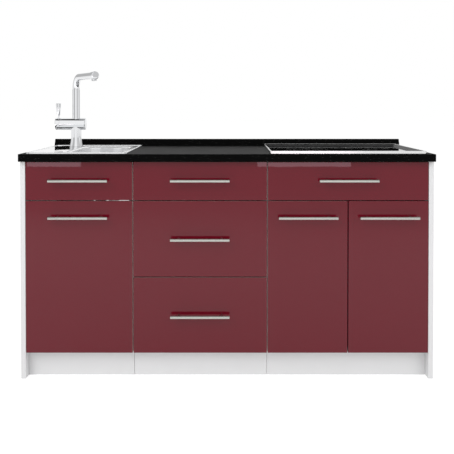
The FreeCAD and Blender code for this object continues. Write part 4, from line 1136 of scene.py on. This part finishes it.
# %% World
SOFT_LIGHT = 0.62
STUDIO_SIDES = ((0.0, 0.9), (0.10, 0.5), (0.19, 0.47), (0.29, 0.50), (0.35, 0.95), (0.65, 0.95),
                (0.71, 0.64), (0.90, 0.60), (0.96, 0.55), (1.0, 0.9))
CEILING_FROM, CEILING_TO = 0.90, 0.95
WHITE, CEILING = (1.0, 1.0, 1.0), (0.03, 0.03, 0.03)
world = bpy.data.worlds.new("studio")
bpy.context.scene.world = world
world.use_nodes = True
tree = Tree(world.node_tree)
to_right, _, upwards = tree.axes(tree.add("ShaderNodeTexCoord", output="Generated"))
sides = tree.add("ShaderNodeValToRGB", {"stops": STUDIO_SIDES}, {0: to_right * 0.5 + 0.5})
ceiling = tree.add("ShaderNodeMapRange", {}, {0: upwards, 1: CEILING_FROM, 2: CEILING_TO})
colour = (SOFT_LIGHT,) * 3
for ray, seen in (("Is Glossy Ray", tree.mix(ceiling, sides, CEILING)), ("Is Camera Ray", WHITE),
                  ("Is Transmission Ray", WHITE)):
    colour = tree.mix(tree.add("ShaderNodeLightPath", output=ray), colour, seen)
tree.plug(tree.nodes["Background"].inputs["Color"], colour)


# %% Lamps
def soft_lamp(name, place, target, size, power, mirrored=False, colour=(1, 1, 1)):
    """A wide lamp that looks at a point and isn't seen itself, or is seen only in mirrors."""
    lamp = bpy.data.lights.new(name, "AREA")
    lamp.color = colour
    lamp.shape = "RECTANGLE"
    lamp.size, lamp.size_y = size
    lamp.energy = power
    lamp_object = placed(name, lamp)
    lamp_object.location = place
    aim = Vector(target) - Vector(place)
    lamp_object.rotation_euler = aim.to_track_quat("-Z", "Y").to_euler()
    lamp_object.visible_camera = False
    lamp_object.visible_glossy = mirrored
    lamp_object.visible_diffuse = not mirrored


soft_lamp("key_lamp", (-2.2, -3.2, 3.0), (0, 0, 0.5), (2.4, 2.4), 70.0)
soft_lamp("fill_lamp", (2.6, -2.6, 2.2), (0, 0, 0.5), (2.4, 2.4), 30.0)

# %% [markdown]
# Two low strips of light in front of the unit show only in glossy surfaces, as pale bars along
# the top of the lacquered fronts.

# %% Strips that only a mirror sees
STRIP_GLOW = 2.6
STRIP_COLOUR = (1.0, 0.76, 0.87)
STRIP_Y, STRIP_LOW, STRIP_HEIGHT = -3.54, 0.52, 0.08
for name, left, right in (("left_strip", -1.63, -1.19), ("right_strip", 0.25, 1.01)):
    size = (right - left, STRIP_HEIGHT)
    middle = Vector(((left + right) / 2, STRIP_Y, STRIP_LOW + STRIP_HEIGHT / 2))
    power = STRIP_GLOW * math.pi * size[0] * size[1]
    soft_lamp(name, middle, middle + Y_AXIS, size, power, mirrored=True, colour=STRIP_COLOUR)
